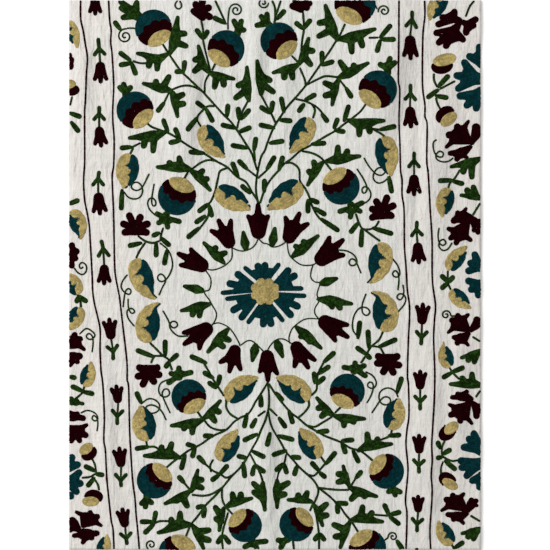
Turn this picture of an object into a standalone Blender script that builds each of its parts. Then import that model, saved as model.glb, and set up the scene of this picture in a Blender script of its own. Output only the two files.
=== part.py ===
"""A cut length of suzani: cotton ground cloth, lying face up in soft, nearly upright folds.

The cloth is one sheet. Its lower face is flat on the surface between the folds and
lifts off it under each fold. X runs across the cloth, Y up its length, Z off its face.
The origin is on the surface, under the middle of the cloth. Sizes are in metres.
"""

import bpy

CLOTH_WIDTH = 0.750
CLOTH_LENGTH = 1.000
CLOTH_THICKNESS = 0.0015

# The folds run up the length, so the cells are narrow across and long up the cloth.
CELLS_ACROSS = 84
CELLS_UP = 26

SHARP_ANGLE = 0.6

COTTON_COLOUR = (0.69, 0.66, 0.62, 1.0)
COTTON_ROUGHNESS = 0.9

# One row for each fold. low_y and high_y are where it dies out, unless it runs off the
# cloth. low_x, mid_x and high_x are the crest's place at those two ends and half way
# between them. rise is the crest's height, and left and right are the widths of the
# two slopes, measured across the cloth from the crest.
FOLD_COLUMNS = (
    "name", "low_y", "high_y", "low_x", "mid_x", "high_x", "rise", "left", "right",
)
FOLD_ROWS = (
    ("upper_left", 0.085, 0.560, -0.190, -0.156, -0.155, 0.0080, 0.075, 0.030),
    ("upper_middle", 0.235, 0.560, -0.034, -0.033, -0.031, 0.0060, 0.032, 0.022),
    ("beside_middle", 0.110, 0.560, 0.015, 0.016, 0.010, 0.0035, 0.038, 0.026),
    ("upper_right", 0.150, 0.560, 0.148, 0.208, 0.228, 0.0100, 0.095, 0.046),
    ("right_strip", 0.040, 0.310, 0.243, 0.243, 0.250, 0.0050, 0.030, 0.016),
    ("right_border", -0.010, 0.420, 0.290, 0.285, 0.318, 0.0075, 0.036, 0.044),
    ("lower_right", -0.560, 0.015, 0.262, 0.286, 0.288, 0.0085, 0.062, 0.022),
    ("right_edge", -0.420, -0.040, 0.322, 0.330, 0.332, 0.0060, 0.030, 0.036),
    ("lower_middle", -0.560, -0.120, -0.011, -0.018, -0.022, 0.0070, 0.034, 0.024),
    ("lower_left", -0.480, -0.090, -0.296, -0.305, -0.316, 0.0050, 0.034, 0.020),
    ("left_edge", 0.260, 0.480, -0.352, -0.350, -0.356, 0.0050, 0.030, 0.026),
    ("foot_left", -0.560, -0.330, -0.180, -0.190, -0.200, 0.0045, 0.050, 0.040),
)

# How far from its end a fold has died down to nothing, as a share of its length.
FOLD_END_SHARE = 0.42


def named_folds():
    """The folds as dictionaries, one for each row of the table."""
    return [dict(zip(FOLD_COLUMNS, row)) for row in FOLD_ROWS]


def smooth_step(share):
    """0 below 0, 1 above 1, and an even S between them."""
    share = min(1.0, max(0.0, share))
    return share * share * (3.0 - 2.0 * share)


def crest_x(fold, along):
    """The crest's x at a share of the way from its low end to its high end."""
    low, mid, high = fold["low_x"], fold["mid_x"], fold["high_x"]
    bend = 2.0 * (low + high - 2.0 * mid)
    return low + (high - low) * along + bend * along * (along - 1.0)


def fold_rise(fold, x, y):
    """How far one fold lifts the cloth at a place."""
    length = fold["high_y"] - fold["low_y"]
    along = (y - fold["low_y"]) / length
    if not 0.0 < along < 1.0:
        return 0.0
    from_crest = x - crest_x(fold, along)
    width = fold["left"] if from_crest < 0.0 else fold["right"]
    across = from_crest / width
    if abs(across) >= 1.0:
        return 0.0
    ends = smooth_step(along / FOLD_END_SHARE) * smooth_step((1.0 - along) / FOLD_END_SHARE)
    return fold["rise"] * ends * (1.0 - across * across) ** 2


def underside_height(folds, x, y):
    """The height of the cloth's lower face over the surface that it lies on."""
    return sum(fold_rise(fold, x, y) for fold in folds)


def cotton_material():
    """Undyed cotton: warm white and matt."""
    material = bpy.data.materials.new("undyed_cotton")
    material.use_nodes = True
    shader = material.node_tree.nodes["Principled BSDF"]
    shader.inputs["Base Color"].default_value = COTTON_COLOUR
    shader.inputs["Roughness"].default_value = COTTON_ROUGHNESS
    shader.inputs["Metallic"].default_value = 0.0
    material.diffuse_color = COTTON_COLOUR
    return material


def make_cloth(collection):
    """The sheet: a grid lifted along the folds, given its thickness upwards."""
    bpy.ops.mesh.primitive_grid_add(x_subdivisions=CELLS_ACROSS, y_subdivisions=CELLS_UP, size=1.0)
    cloth = bpy.context.object
    cloth.name = "ground_cloth"
    cloth.data.name = "ground_cloth"
    folds = named_folds()
    for vertex in cloth.data.vertices:
        x = vertex.co.x * CLOTH_WIDTH
        y = vertex.co.y * CLOTH_LENGTH
        vertex.co = (x, y, underside_height(folds, x, y))
    thickness = cloth.modifiers.new("thickness", "SOLIDIFY")
    thickness.thickness = CLOTH_THICKNESS
    thickness.offset = 1.0
    thickness.use_even_offset = True
    cloth.data.materials.append(cotton_material())
    cloth.data.shade_smooth()
    cloth.data.set_sharp_from_angle(angle=SHARP_ANGLE)
    for holder in list(cloth.users_collection):
        holder.objects.unlink(cloth)
    collection.objects.link(cloth)
    return cloth


def main():
    for old in list(bpy.data.objects):
        bpy.data.objects.remove(old)
    collection = bpy.data.collections.new("suzani_length")
    bpy.context.scene.collection.children.link(collection)
    make_cloth(collection)


main()
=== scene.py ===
"""Suzani length: cotton ground cloth with chain-stitched flowers, laid face up.

The cloth is one thin sheet that follows the folds of the frame's solid. The drawing on it
is set out in photo pixels, as short tables of roots, tips and centres. Each motif is filled
with rows of chain stitch that follow its outline, one row inside the other, and each stem is
a single row. Every row carries real stitches, set along it by Geometry Nodes.
"""

import math
from collections import defaultdict

import bpy
import numpy as np
from bpy.props import FloatProperty, FloatVectorProperty, IntProperty, PointerProperty
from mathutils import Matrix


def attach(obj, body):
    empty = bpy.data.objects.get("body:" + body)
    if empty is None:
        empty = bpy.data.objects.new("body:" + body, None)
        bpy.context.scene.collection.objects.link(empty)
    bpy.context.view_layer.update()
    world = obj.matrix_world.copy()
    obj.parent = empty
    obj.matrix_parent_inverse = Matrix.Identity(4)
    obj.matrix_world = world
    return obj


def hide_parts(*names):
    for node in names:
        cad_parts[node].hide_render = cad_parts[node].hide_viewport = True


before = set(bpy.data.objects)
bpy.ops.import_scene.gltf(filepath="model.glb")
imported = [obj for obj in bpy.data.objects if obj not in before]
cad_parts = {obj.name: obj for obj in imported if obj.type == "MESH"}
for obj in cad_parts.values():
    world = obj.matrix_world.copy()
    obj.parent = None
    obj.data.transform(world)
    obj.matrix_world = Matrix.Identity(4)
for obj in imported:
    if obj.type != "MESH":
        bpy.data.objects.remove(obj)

bl_info = {
    "name": "Suzani Length",
    "version": (1, 0, 0),
    "blender": (4, 5, 0),
    "location": "View3D > Sidebar > Suzani",
    "description": "A length of suzani cloth covered in chain stitch, laid face up",
    "category": "Add Mesh",
}

CLOTH_NODE = "ground_cloth"

# The photo's frame, in its own pixels, and the cloth that it shows.
PHOTO_SIDE = 550
PHOTO_MIDDLE = 275
CLOTH_LEFT_PIXEL = 69
CLOTH_RIGHT_PIXEL = 481
CLOTH_WIDTH = 0.750
CLOTH_LENGTH = 1.000
METRES_A_PIXEL = CLOTH_LENGTH / PHOTO_SIDE

# The solid's folds, in metres. The lower right one is 1.5 mm lower here and its right slope is
# 6 mm wider, because it is shaded so in the photo.
FOLD_COLUMNS = (
    "name", "low_y", "high_y", "low_x", "mid_x", "high_x", "rise", "left", "right",
)
FOLD_ROWS = (
    ("upper_left", 0.085, 0.560, -0.190, -0.156, -0.155, 0.0080, 0.075, 0.030),
    ("upper_middle", 0.235, 0.560, -0.034, -0.033, -0.031, 0.0060, 0.032, 0.022),
    ("beside_middle", 0.110, 0.560, 0.015, 0.016, 0.010, 0.0035, 0.038, 0.026),
    ("upper_right", 0.150, 0.560, 0.148, 0.208, 0.228, 0.0100, 0.095, 0.046),
    ("right_strip", 0.040, 0.310, 0.243, 0.243, 0.250, 0.0050, 0.030, 0.016),
    ("right_border", -0.010, 0.420, 0.290, 0.285, 0.318, 0.0075, 0.036, 0.044),
    ("lower_right", -0.560, 0.015, 0.262, 0.286, 0.288, 0.0070, 0.062, 0.028),
    ("right_edge", -0.420, -0.040, 0.322, 0.330, 0.332, 0.0060, 0.030, 0.036),
    ("lower_middle", -0.560, -0.120, -0.011, -0.018, -0.022, 0.0070, 0.034, 0.024),
    ("lower_left", -0.480, -0.090, -0.296, -0.305, -0.316, 0.0050, 0.034, 0.020),
    ("left_edge", 0.260, 0.480, -0.352, -0.350, -0.356, 0.0050, 0.030, 0.026),
    ("foot_left", -0.560, -0.330, -0.180, -0.190, -0.200, 0.0045, 0.050, 0.040),
)
FOLD_END_SHARE = 0.42

# Pressed creases: both ends in photo pixels, then half width and height in metres.
CREASE_ROWS = (
    (75, 290, 180, 289, 0.0070, 0.00050),
    (75, 309, 178, 307, 0.0080, 0.00055),
    (370, 280, 432, 279, 0.0080, 0.00050),
    (70, 41, 128, 44, 0.0080, 0.00045),
    (70, 57, 120, 58, 0.0080, 0.00040),
    (251, -20, 251, 135, 0.0090, 0.00080),
    (258, 365, 259, 470, 0.0080, 0.00070),
    (272, 420, 271, 490, 0.0070, 0.00060),
    (220, 95, 236, 170, 0.0080, 0.00045),
    (330, 130, 322, 205, 0.0080, 0.00045),
    (271, 340, 276, 366, 0.0060, 0.00060),
    (306, 322, 312, 350, 0.0060, 0.00055),
    (300, 170, 286, 215, 0.0080, 0.00040),
    (196, 300, 190, 360, 0.0090, 0.00040),
)

# How far from its end a crease has died down to nothing, as a share of its length.
CREASE_END_SHARE = 0.25

# Wrinkles: their shortest and longest wave, how far a wave turns from straight up the cloth,
# in radians, and how far it may lift or lower the cloth.
WRINKLE_WAVES = (0.016, 0.070)
WRINKLE_TURN = 0.45
WRINKLE_LIMIT = 0.0012

# The distance over which the cloth's slope is measured.
SLOPE_STEP = 0.0015

# In photo pixels: the step of the grid that a motif is worked out on, how far the stitches
# keep from the cloth's edge, how deep inside a motif the cloth counts as taken, and how much
# further each lobe reaches than its table says.
DRAWING_STEP = 0.4
EDGE_ALLOWANCE = 0.7
TAKEN_DEPTH = 0.35
MOTIF_GROWTH = 0.4
TAKEN_CELLS_A_PIXEL = 2

# How far to each side a row hides the cloth, and the depth from which a bare place gets a
# stitch of its own, both as shares of the pitch.
FILL_REACH = 0.50
BARE_DEPTH = 0.30
# How far from a bare place others are covered by the same stitch, in stitches, and the
# places along that stitch that are marked.
GAP_REACH = 0.8
GAP_STEPS = 9

# The shortest row of a filling and the shortest piece of a cut row, in stitches.
SHORTEST_ROW = 2.0
SHORTEST_CUT_ROW = 0.4

# How far a straight stitch may stand off the curve of its row, and the shortest stitch.
STITCH_STRAY = 0.15
SHORTEST_STITCH = 0.5
# How far to each side a row's turn is looked for, in stitches. Where it turns by more than
# CORNER_TURN, in radians, the needle goes down in the corner.
TURN_REACH = 0.45
CORNER_TURN = 1.0
TINY = 1e-9
# The least length of a lobe, in photo pixels.
SHORTEST_LOBE = 0.1

# Widths of the single rows, as shares of a filling row's width.
STEM_ROW = 1.10
VINE_ROW = 0.68
TENDRIL_ROW = 0.84
STRIP_ROW = 0.90
FILL_ROW = 1.0

# Chain stitch, seen as one link: how far along it each section is, its half width, the
# height of its two strands and the height of the groove between them, all as shares.
STITCH_SECTIONS = (
    (-0.44, 0.47, 0.88, 0.66),
    (0.46, 0.50, 1.00, 0.76),
)
STITCH_NOSE = (-0.84, 0.44)
STITCH_TAIL = (0.80, 0.36)
STRAND_PLACE = 0.56
STITCH_SLANT = 0.10

# The drawing. Every number is a photo pixel, across and then down.

# Single maroon rows that edge the two strips.
STRIP_LINES = (
    (80.5, -3, 80.5, 18, 83, 30, 85.5, 45, 87.5, 58, 86.5, 75, 85.5, 100, 84.5, 115, 84.5, 160,
     83.5, 180, 84.5, 200, 87, 213, 89, 225, 90, 240, 92, 275, 92.5, 290, 94, 302, 97, 315,
     100, 330, 100, 350, 101, 370, 103, 385, 104.5, 415, 104, 440, 105.5, 450, 107, 480,
     108.5, 495, 111, 520, 113, 530, 114, 553),
    (108.3, -3, 109.5, 20, 111, 30, 110.5, 42, 112, 55, 113.5, 85, 112.5, 115, 114, 140,
     113.5, 165, 112, 178, 113.5, 215, 114.5, 265, 116, 280, 118, 290, 120, 302, 122, 320,
     125, 345, 127, 365, 127, 380, 128.5, 388, 129.5, 430, 130.5, 450, 132.5, 480, 135, 500,
     136, 515, 138, 535, 139.5, 553),
    (399, -3, 398.5, 40, 398, 80, 399.5, 90, 399, 120, 400, 145, 400.5, 170, 402, 180,
     402, 195, 404, 210, 404.5, 245, 406, 265, 407.5, 290, 409.5, 305, 409.5, 320, 408.5, 340,
     407.5, 375, 408.5, 385, 409, 415, 407, 430, 406, 445, 408, 470, 405.5, 500, 407, 515,
     406, 553),
    (424.5, -3, 425, 15, 423, 35, 422.5, 70, 423, 90, 425, 105, 425, 117, 427, 125,
     426.5, 160, 428, 175, 430, 210, 432, 240, 432.5, 280, 435.5, 305, 434.5, 320, 433.5, 340,
     434.5, 370, 434, 400, 432.5, 425, 431.5, 445, 432, 460, 431, 475, 432, 493, 430, 530,
     431, 553),
)

# Strip tulips: root, middle tip, the fork of the two small leaves and the stem's end.
STRIP_TULIPS = (
    (95, -4, 95, 15, 94, -20, 94, -28),
    (100, 62, 100.5, 83, 99, 48, 98, 38),
    (99, 127, 101, 147, 99, 113, 99, 106),
    (98, 193, 100, 215, 98, 178, 99, 171),
    (104, 265, 104, 285, 103, 248, 101, 240),
    (111, 339, 109, 318, 113, 352, 113, 360),
    (118, 403, 116, 385, 117, 417, 117, 425),
    (121, 467, 119, 447, 120.5, 481, 121, 487),
    (125, 527, 122, 508, 126, 539, 127, 545),
    (410, 36, 410.5, 60, 412, 19, 412, 11),
    (410, 107, 411, 128, 410.5, 93, 410.5, 84),
    (414, 175, 414, 196, 414, 160, 414, 152),
    (417.5, 243, 419, 264, 416.5, 229, 417, 221),
    (422, 324, 423, 303, 421.5, 338, 421, 345),
    (420, 389, 420, 370, 420, 402, 420, 410),
    (419, 453, 419, 434, 418.5, 465.5, 419, 473),
    (418, 512, 418, 495, 417, 524.5, 417, 532),
    (417, 570, 417, 549, 417, 590, 417, 600),
)

# Ring tulips: root, middle tip and the two side tips.
RING_TULIPS = (
    (258.5, 238, 258, 203, 247, 215, 269, 215),
    (231, 247, 218, 219, 210, 230, 231, 219),
    (207, 268, 177, 253, 179, 265, 190, 248),
    (211, 326, 183, 345, 182, 333, 199, 350),
    (236, 346, 229, 373, 219, 363, 241, 371),
    (267, 351, 268, 382, 259, 373, 278, 375),
    (294, 343, 309, 369, 294, 368, 316, 361),
    (320, 319, 349, 338, 349, 325, 336, 342),
    (317, 263, 344, 239, 330, 236, 345, 255),
    (287, 242, 300, 212, 285, 216, 309, 223),
)

# Plain leaves of the ring: root and tip.
RING_LEAVES = (
    (246, 250, 243, 231), (272, 246, 275, 227), (204, 291, 183, 286),
    (256, 344, 252, 362), (276, 340, 283, 358), (320, 284, 338, 278),
)

# Lobed leaves: root, tip and the tips of the two side lobes, then how far the leaf bows
# towards its lobes, as a share of its length, where that is not LEAF_BOW.
LEAF_BOW = 0.055
LOBED_LEAVES = (
    (224, 263, 203, 242, 217, 246, 227, 252, 0.0), (292, 257, 319, 235, 302, 240, 294, 245, 0.0),
    (210, 304, 180, 311, 192, 317, 199, 318, 0.0), (228, 329, 207, 353, 225, 348, 231, 341, 0.0),
    (296, 327, 322, 349, 309, 344, 299, 338, 0.0), (318, 299, 353, 304, 341, 310, 333, 309, 0.0),
    (170, 54, 178, 16, 187, 34, 188, 47), (168, 54, 136, 53, 148, 68, 157, 71, 0.18),
    (172, 91, 142, 83, 156, 79, 170, 75, 0.0), (171, 90, 178, 118, 186, 104, 185, 94),
    (166, 132, 128, 138, 143, 148, 153, 153), (208, 72, 198, 45, 193, 61, 193, 73, 0.10),
    (209, 72, 235, 79, 224, 87, 214, 89), (249, 101, 247, 66, 236, 86, 234, 99),
    (261, 95, 257, 60, 272, 81, 275, 93), (299, 64, 309, 37, 315, 51, 312, 66),
    (299, 64, 272, 73, 284, 80, 293, 80), (338, 40, 325, 4, 317, 23, 317, 37),
    (338, 39, 376, 29, 363, 48, 352, 54), (338, 78, 369, 63, 353, 63, 339, 60, 0.0),
    (338.5, 79, 332, 106, 323, 96, 323, 82), (348, 120, 385, 121, 370, 134, 359, 137, 0.11),
    (192, 170, 156, 167, 168, 161, 179, 156), (190, 170, 211, 191, 209, 178, 204, 169),
    (323, 162, 307, 186, 307, 170, 313, 160), (326, 161, 361, 156, 348, 149, 338, 145, 0.0),
    (203, 420, 170, 426, 183, 431, 192, 435), (203, 419, 221, 400, 221, 413, 216, 423),
    (334, 416, 366, 419, 355, 424, 344, 428), (334, 416, 316, 397, 316, 409, 320, 418),
    (180, 458, 143, 456, 162, 445, 172, 442, 0.09), (358, 451, 393, 444, 378, 437, 367, 432, 0.09),
    (190, 491, 164, 504, 177, 503, 188, 508), (191, 492, 198, 469, 204, 480, 204, 489),
    (349, 486, 343, 465, 336, 474, 336, 483), (349, 487, 378, 497, 365, 499, 350, 501),
    (192, 525, 157, 533, 171, 517, 180, 511, 0.10), (192, 525, 204, 550, 211, 541, 211, 530),
    (350, 521, 384, 522, 373, 511, 363, 505, 0.10), (350, 522, 340, 549, 333, 537, 332, 524),
    (263, 482, 265, 511, 252, 491, 252, 482), (277, 480, 277, 509, 287, 494, 290, 482, 0.0),
    (226, 507, 253, 498, 241, 492, 232, 492), (224, 508, 219, 532, 214, 518, 214, 506),
    (312, 502, 287, 500, 298, 493, 308, 491), (314, 505, 323, 527, 329, 515, 328, 503),
    (481, 158, 450, 167, 463, 174, 472, 179), (483, 199, 460, 195, 466, 188, 473, 185),
    (483, 350, 460, 358, 467, 362, 474, 364), (483, 386, 449, 384, 461, 376, 472, 372),
    (483, 528, 461, 534, 467, 539, 473, 541), (66, 402, 84, 404, 77, 399, 70, 397),
)

# Small club leaves: root and tip.
CLUB_LEAVES = (
    (120, 29, 114, 21), (130, 60, 119, 52), (131, 63, 119, 65), (131, 62, 136, 75),
    (184, 71, 185, 61), (184, 72, 175, 72), (164, 103, 157, 112), (168, 132, 163, 119),
    (180, 140, 175, 128), (180, 141, 169, 143), (131, 147, 120, 148), (203, 39, 196, 29),
    (204, 38, 208, 30), (225, 23, 213, 17), (205, 108, 196, 102), (206, 109, 213, 122),
    (197, 118, 187, 131), (227, 116, 228, 104), (235, 128, 221, 124.5), (239, 132, 251, 127),
    (239, 119, 238, 107), (241, 119, 250, 109), (270, 113, 260, 106.5), (271, 113, 273, 101),
    (277, 19, 285, 10), (304, 29, 295, 22), (304, 28, 311, 19), (284, 112, 281, 97),
    (280, 120, 292, 121), (274, 128, 259, 124.5), (322, 64, 322, 51), (322, 65, 334, 61),
    (305, 100, 316, 94), (304, 104, 298, 112), (322, 114, 328, 122), (380, 38, 391, 25),
    (381, 40, 395, 40), (380, 41, 376.5, 53), (346, 88, 352, 98), (344, 121, 349, 105),
    (334, 128, 338, 118), (335, 130, 345, 132), (380, 130, 396, 126), (254, 150, 256, 137),
    (247, 148, 231, 145), (270, 143, 284, 141), (247, 169, 238, 160), (267, 169, 275, 156),
    (250, 193, 241, 185), (238, 177, 232, 162), (264, 192, 264.5, 179), (279, 170, 283, 156),
    (312, 144, 326, 143), (204, 153, 189, 152), (122, 190, 121, 210), (208, 204, 198, 212),
    (209, 205, 212, 217), (205, 216, 195, 223), (199, 228, 187, 238), (308, 200, 308, 213),
    (310, 199, 319, 203), (314, 208, 326, 215), (321, 219, 339, 231), (389, 177, 392, 193),
    (141, 243, 128, 246), (159, 233, 152, 236), (161, 238, 170, 246), (156, 243, 156, 257),
    (167, 250, 164, 265), (358, 223, 350, 233), (362, 229, 361, 247), (373, 228, 393, 234),
    (154, 357, 136, 350), (165, 356, 165, 340), (170, 361, 178, 354), (169, 362, 165, 368),
    (141, 403, 136, 392), (206, 363, 190, 356), (213, 378, 203, 372), (216, 388, 208, 382),
    (218, 385, 220, 375), (358, 338, 360, 321), (369, 348, 368, 330), (379, 347, 397, 339),
    (366, 354, 356, 347), (365, 353, 371, 359), (318, 374, 330, 366), (315, 383, 314, 372),
    (317, 384, 325, 377), (324, 362, 335, 352), (397, 393, 402, 377), (261, 396, 261, 407),
    (276, 393, 283, 401), (247, 414, 244, 428), (256, 419, 251, 428), (213, 436, 203, 436),
    (289, 411, 293, 424), (279, 418, 286, 428), (317, 432, 329, 431), (270, 433, 267, 446),
    (257, 434, 243, 441), (278, 436, 294, 440), (252, 451, 265, 457), (286, 451, 272, 455),
    (246, 458, 237, 456), (291, 457, 301, 458), (243, 463, 245, 478), (297, 466, 294, 476),
    (254, 466, 252, 476), (255, 465, 265, 472), (283, 464, 275, 471), (284, 464, 287, 474),
    (205, 464, 197.5, 456), (220, 474, 228, 465), (219, 475, 211, 481), (319, 471, 311, 462),
    (320, 473, 326, 478), (326, 464, 336, 452), (148, 447, 135, 449), (185, 455, 181, 470),
    (195, 447, 192, 458), (196, 447, 186, 444), (184, 483, 178, 476), (154, 522, 156, 511),
    (153, 522, 140, 522), (154, 524, 144, 534), (204, 506, 196, 508), (205, 508, 203, 518),
    (222, 536, 217, 544), (224, 536, 230, 544), (319, 534, 314, 541), (320, 534, 325, 541),
    (342, 441, 354, 440), (342, 443, 346, 454), (353, 451, 359, 463), (389, 436, 401, 435),
    (356, 478, 362, 471), (336, 503, 348, 504), (337, 505, 338, 514), (389, 515, 384, 504),
    (390, 515, 401, 512), (390, 517, 400, 525), (397, 541, 403, 550), (438, 87, 449, 75),
    (438, 90, 427, 98), (436, 96, 448, 98), (452, 180, 438, 181), (453, 181, 464, 184),
    (448, 282, 441, 275), (449, 282, 454, 276), (448, 283, 441, 289), (452, 372, 464, 367),
    (451, 373, 442, 378), (440, 448, 437, 441), (443, 454, 451, 449), (442, 457, 436, 458),
    (445, 461, 456, 470), (455, 548, 464, 542), (70, 113, 81, 117), (71, 122, 79, 132),
    (68, 204, 79, 200), (78, 297, 76, 303), (78, 296, 87, 302), (70, 377, 76, 378),
    (82, 391, 71, 386), (83, 392, 94, 394), (95, 471, 84, 466), (96, 474, 104, 475),
    (94, 478, 87, 487),
)

# Pomegranates: middle, radius, where the stem meets them, and how far from there the maroon
# band reaches, in radii.
POMEGRANATES = (
    (153.5, 28, 18, 162, 43, 1.24), (226, 48.5, 18, 215, 64, 1.24), (279, 41, 18, 292, 56, 1.24),
    (355, 4, 20, 345, 24, 1.24), (135, 110, 18, 147, 123, 1.24), (377.5, 90, 18.5, 366, 104, 1.24),
    (177, 196, 18.5, 184, 179, 1.16), (341, 186, 18, 332, 171, 1.16),
    (188.8, 396.8, 16.8, 197, 411, 1.10), (347.3, 391.3, 16.9, 340.5, 406.5, 1.10),
    (154.5, 480.7, 17.2, 165, 469.5, 1.10), (386.5, 471.4, 17.0, 373.5, 461.5, 1.10),
    (245, 525.5, 16.2, 233.5, 514.5, 1.10), (296.5, 524.5, 16.5, 309.5, 513, 1.10),
    (177.5, 553.5, 18.5, 186, 538, 1.10), (367.5, 548, 18, 358, 533, 1.10),
)

# Green crowns and leaf fans: the root, then the tips.
GREEN_FANS = (
    (142, 19, 119, 7, 121, 18, 119, 0, 137, 0), (237, 34, 233, 19, 242, 19, 246, 30),
    (271, 27, 255, 26, 260, 15, 267, 12), (126, 97, 118, 86, 123, 82, 132, 86),
    (387, 74, 378, 64, 390, 57, 396, 62), (166, 215, 155, 213, 157, 224, 168, 229, 181, 222),
    (351, 205, 338, 212, 350, 219, 362, 212, 364, 202),
    (179, 377, 169, 373, 179, 366, 193, 372, 167, 384),
    (354, 371, 342, 367, 355, 361, 366, 365, 367, 377),
    (147, 494, 140, 505, 145, 509, 153, 504), (392, 485, 387, 493, 396, 497, 402, 493),
    (252, 540, 268, 541, 243, 548, 258, 550), (288, 539, 276, 540, 280, 550),
)

# Paisleys: the round head, the point, the side of the gold half seen from the head, how
# far the drop bows to that side and its half width, both as shares of its length.
LEFT_HAND = 1
RIGHT_HAND = -1
PAISLEYS = (
    (203, 126, 226, 157, RIGHT_HAND, 0.066, 0.285), (310, 118, 289, 153, LEFT_HAND, 0.035, 0.270),
    (216, 190, 251, 210, RIGHT_HAND, -0.01, 0.275), (301, 184, 267, 210, LEFT_HAND, -0.01, 0.275),
    (128, 155, 123, 189, RIGHT_HAND, -0.04, 0.320), (384, 137, 391, 177, LEFT_HAND, 0.00, 0.275),
    (138, 257, 157, 299, RIGHT_HAND, 0.11, 0.245), (380, 242, 368, 283, LEFT_HAND, 0.13, 0.270),
    (150, 343, 160, 303, LEFT_HAND, 0.16, 0.285), (382, 332, 371, 292, RIGHT_HAND, 0.20, 0.300),
    (227, 400, 259, 378, LEFT_HAND, 0.055, 0.285), (308, 400, 275, 378, RIGHT_HAND, 0.055, 0.285),
    (219, 460, 238, 429, LEFT_HAND, -0.01, 0.280), (319, 457, 299, 428, RIGHT_HAND, 0.00, 0.290),
    (146, 439, 141, 405, LEFT_HAND, 0.00, 0.330), (391, 428, 399, 398, RIGHT_HAND, 0.00, 0.330),
    (445, -5, 430, 21, RIGHT_HAND, 0.05, 0.280), (449, 189, 443, 218, RIGHT_HAND, 0.05, 0.290),
    (448, 270, 468, 246, LEFT_HAND, 0.03, 0.250), (451, 290, 472, 308, RIGHT_HAND, 0.04, 0.260),
    (449, 367, 444, 343, LEFT_HAND, 0.05, 0.290), (452, 544, 439, 520, LEFT_HAND, 0.05, 0.290),
    (65, 20, 77, 49, LEFT_HAND, 0.05, 0.210), (70, 211, 79, 240, LEFT_HAND, 0.12, 0.270),
    (78, 293, 64, 274, RIGHT_HAND, 0.05, 0.330), (80, 308, 66, 330, LEFT_HAND, 0.05, 0.300),
    (84, 386, 90, 361, RIGHT_HAND, 0.05, 0.280), (100, 556, 106, 534, RIGHT_HAND, 0.05, 0.280),
)
# Along the drop: where its spine is fixed, how far it bows there, and its width there.
PAISLEY_ALONG = (0.0, 0.24, 0.38, 0.54, 0.72, 0.88, 1.0)
PAISLEY_BOW = (0.0, 0.85, 1.0, 1.1, 1.15, 0.85, 0.0)
PAISLEY_WIDTH = (0.6, 0.88, 1.0, 0.92, 0.60, 0.26, 0.0)
# The edge between its two halves: how far it bows at each place along the drop.
EDGE_ALONG = (0.0, 0.17, 0.4, 0.6, 0.87, 1.0)
EDGE_BOW = (0.0, 0.3, 1.0, 1.15, 0.8, 0.0)
# The teeth of that edge: the height and the place of each, then the width of both.
EDGE_TEETH = ((0.19, 0.32), (0.09, 0.57))
TOOTH_WIDTH = 0.05

# Maroon flowers of the field: the middle, then the petal tips. The first and last petals
# make the flower's straight foot.
MAROON_FLOWERS = (
    (201, 12, 191, 11, 194, 2, 203, -4, 211, 6, 212, 18, 203, 20),
    (301, 3, 290, 7, 292, -3, 302, -8, 312, 3, 309, 9, 301, 12),
    (135, 228, 122, 233.5, 120.5, 223, 128, 213, 141.5, 214.5, 150, 223, 149, 233.5),
    (382, 211, 394, 217, 396, 204.5, 388, 195, 375, 199, 369.5, 208.5, 370, 219),
    (148, 374, 159.5, 366, 162, 375, 155.5, 384, 141.5, 387, 135, 377, 137, 366),
    (388, 364, 399.5, 354.5, 402, 365.5, 395, 375, 382, 374.5, 374.5, 363, 376, 354.5),
)

# Maroon fans at the top of the two borders: the root, then the petal tips.
MAROON_FANS = (
    (460, 20, 455, 9, 440, 17, 436, 25), (459, 24, 434, 33, 437, 44, 445, 48, 465, 41),
    (463, 22, 478, 18, 476, 26, 466, 35), (64, 60, 74, 60, 72, 69, 70, 53), (62, 140, 70, 140),
    (64, 250, 73, 243, 79, 251, 77, 260, 72, 268),
)

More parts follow.
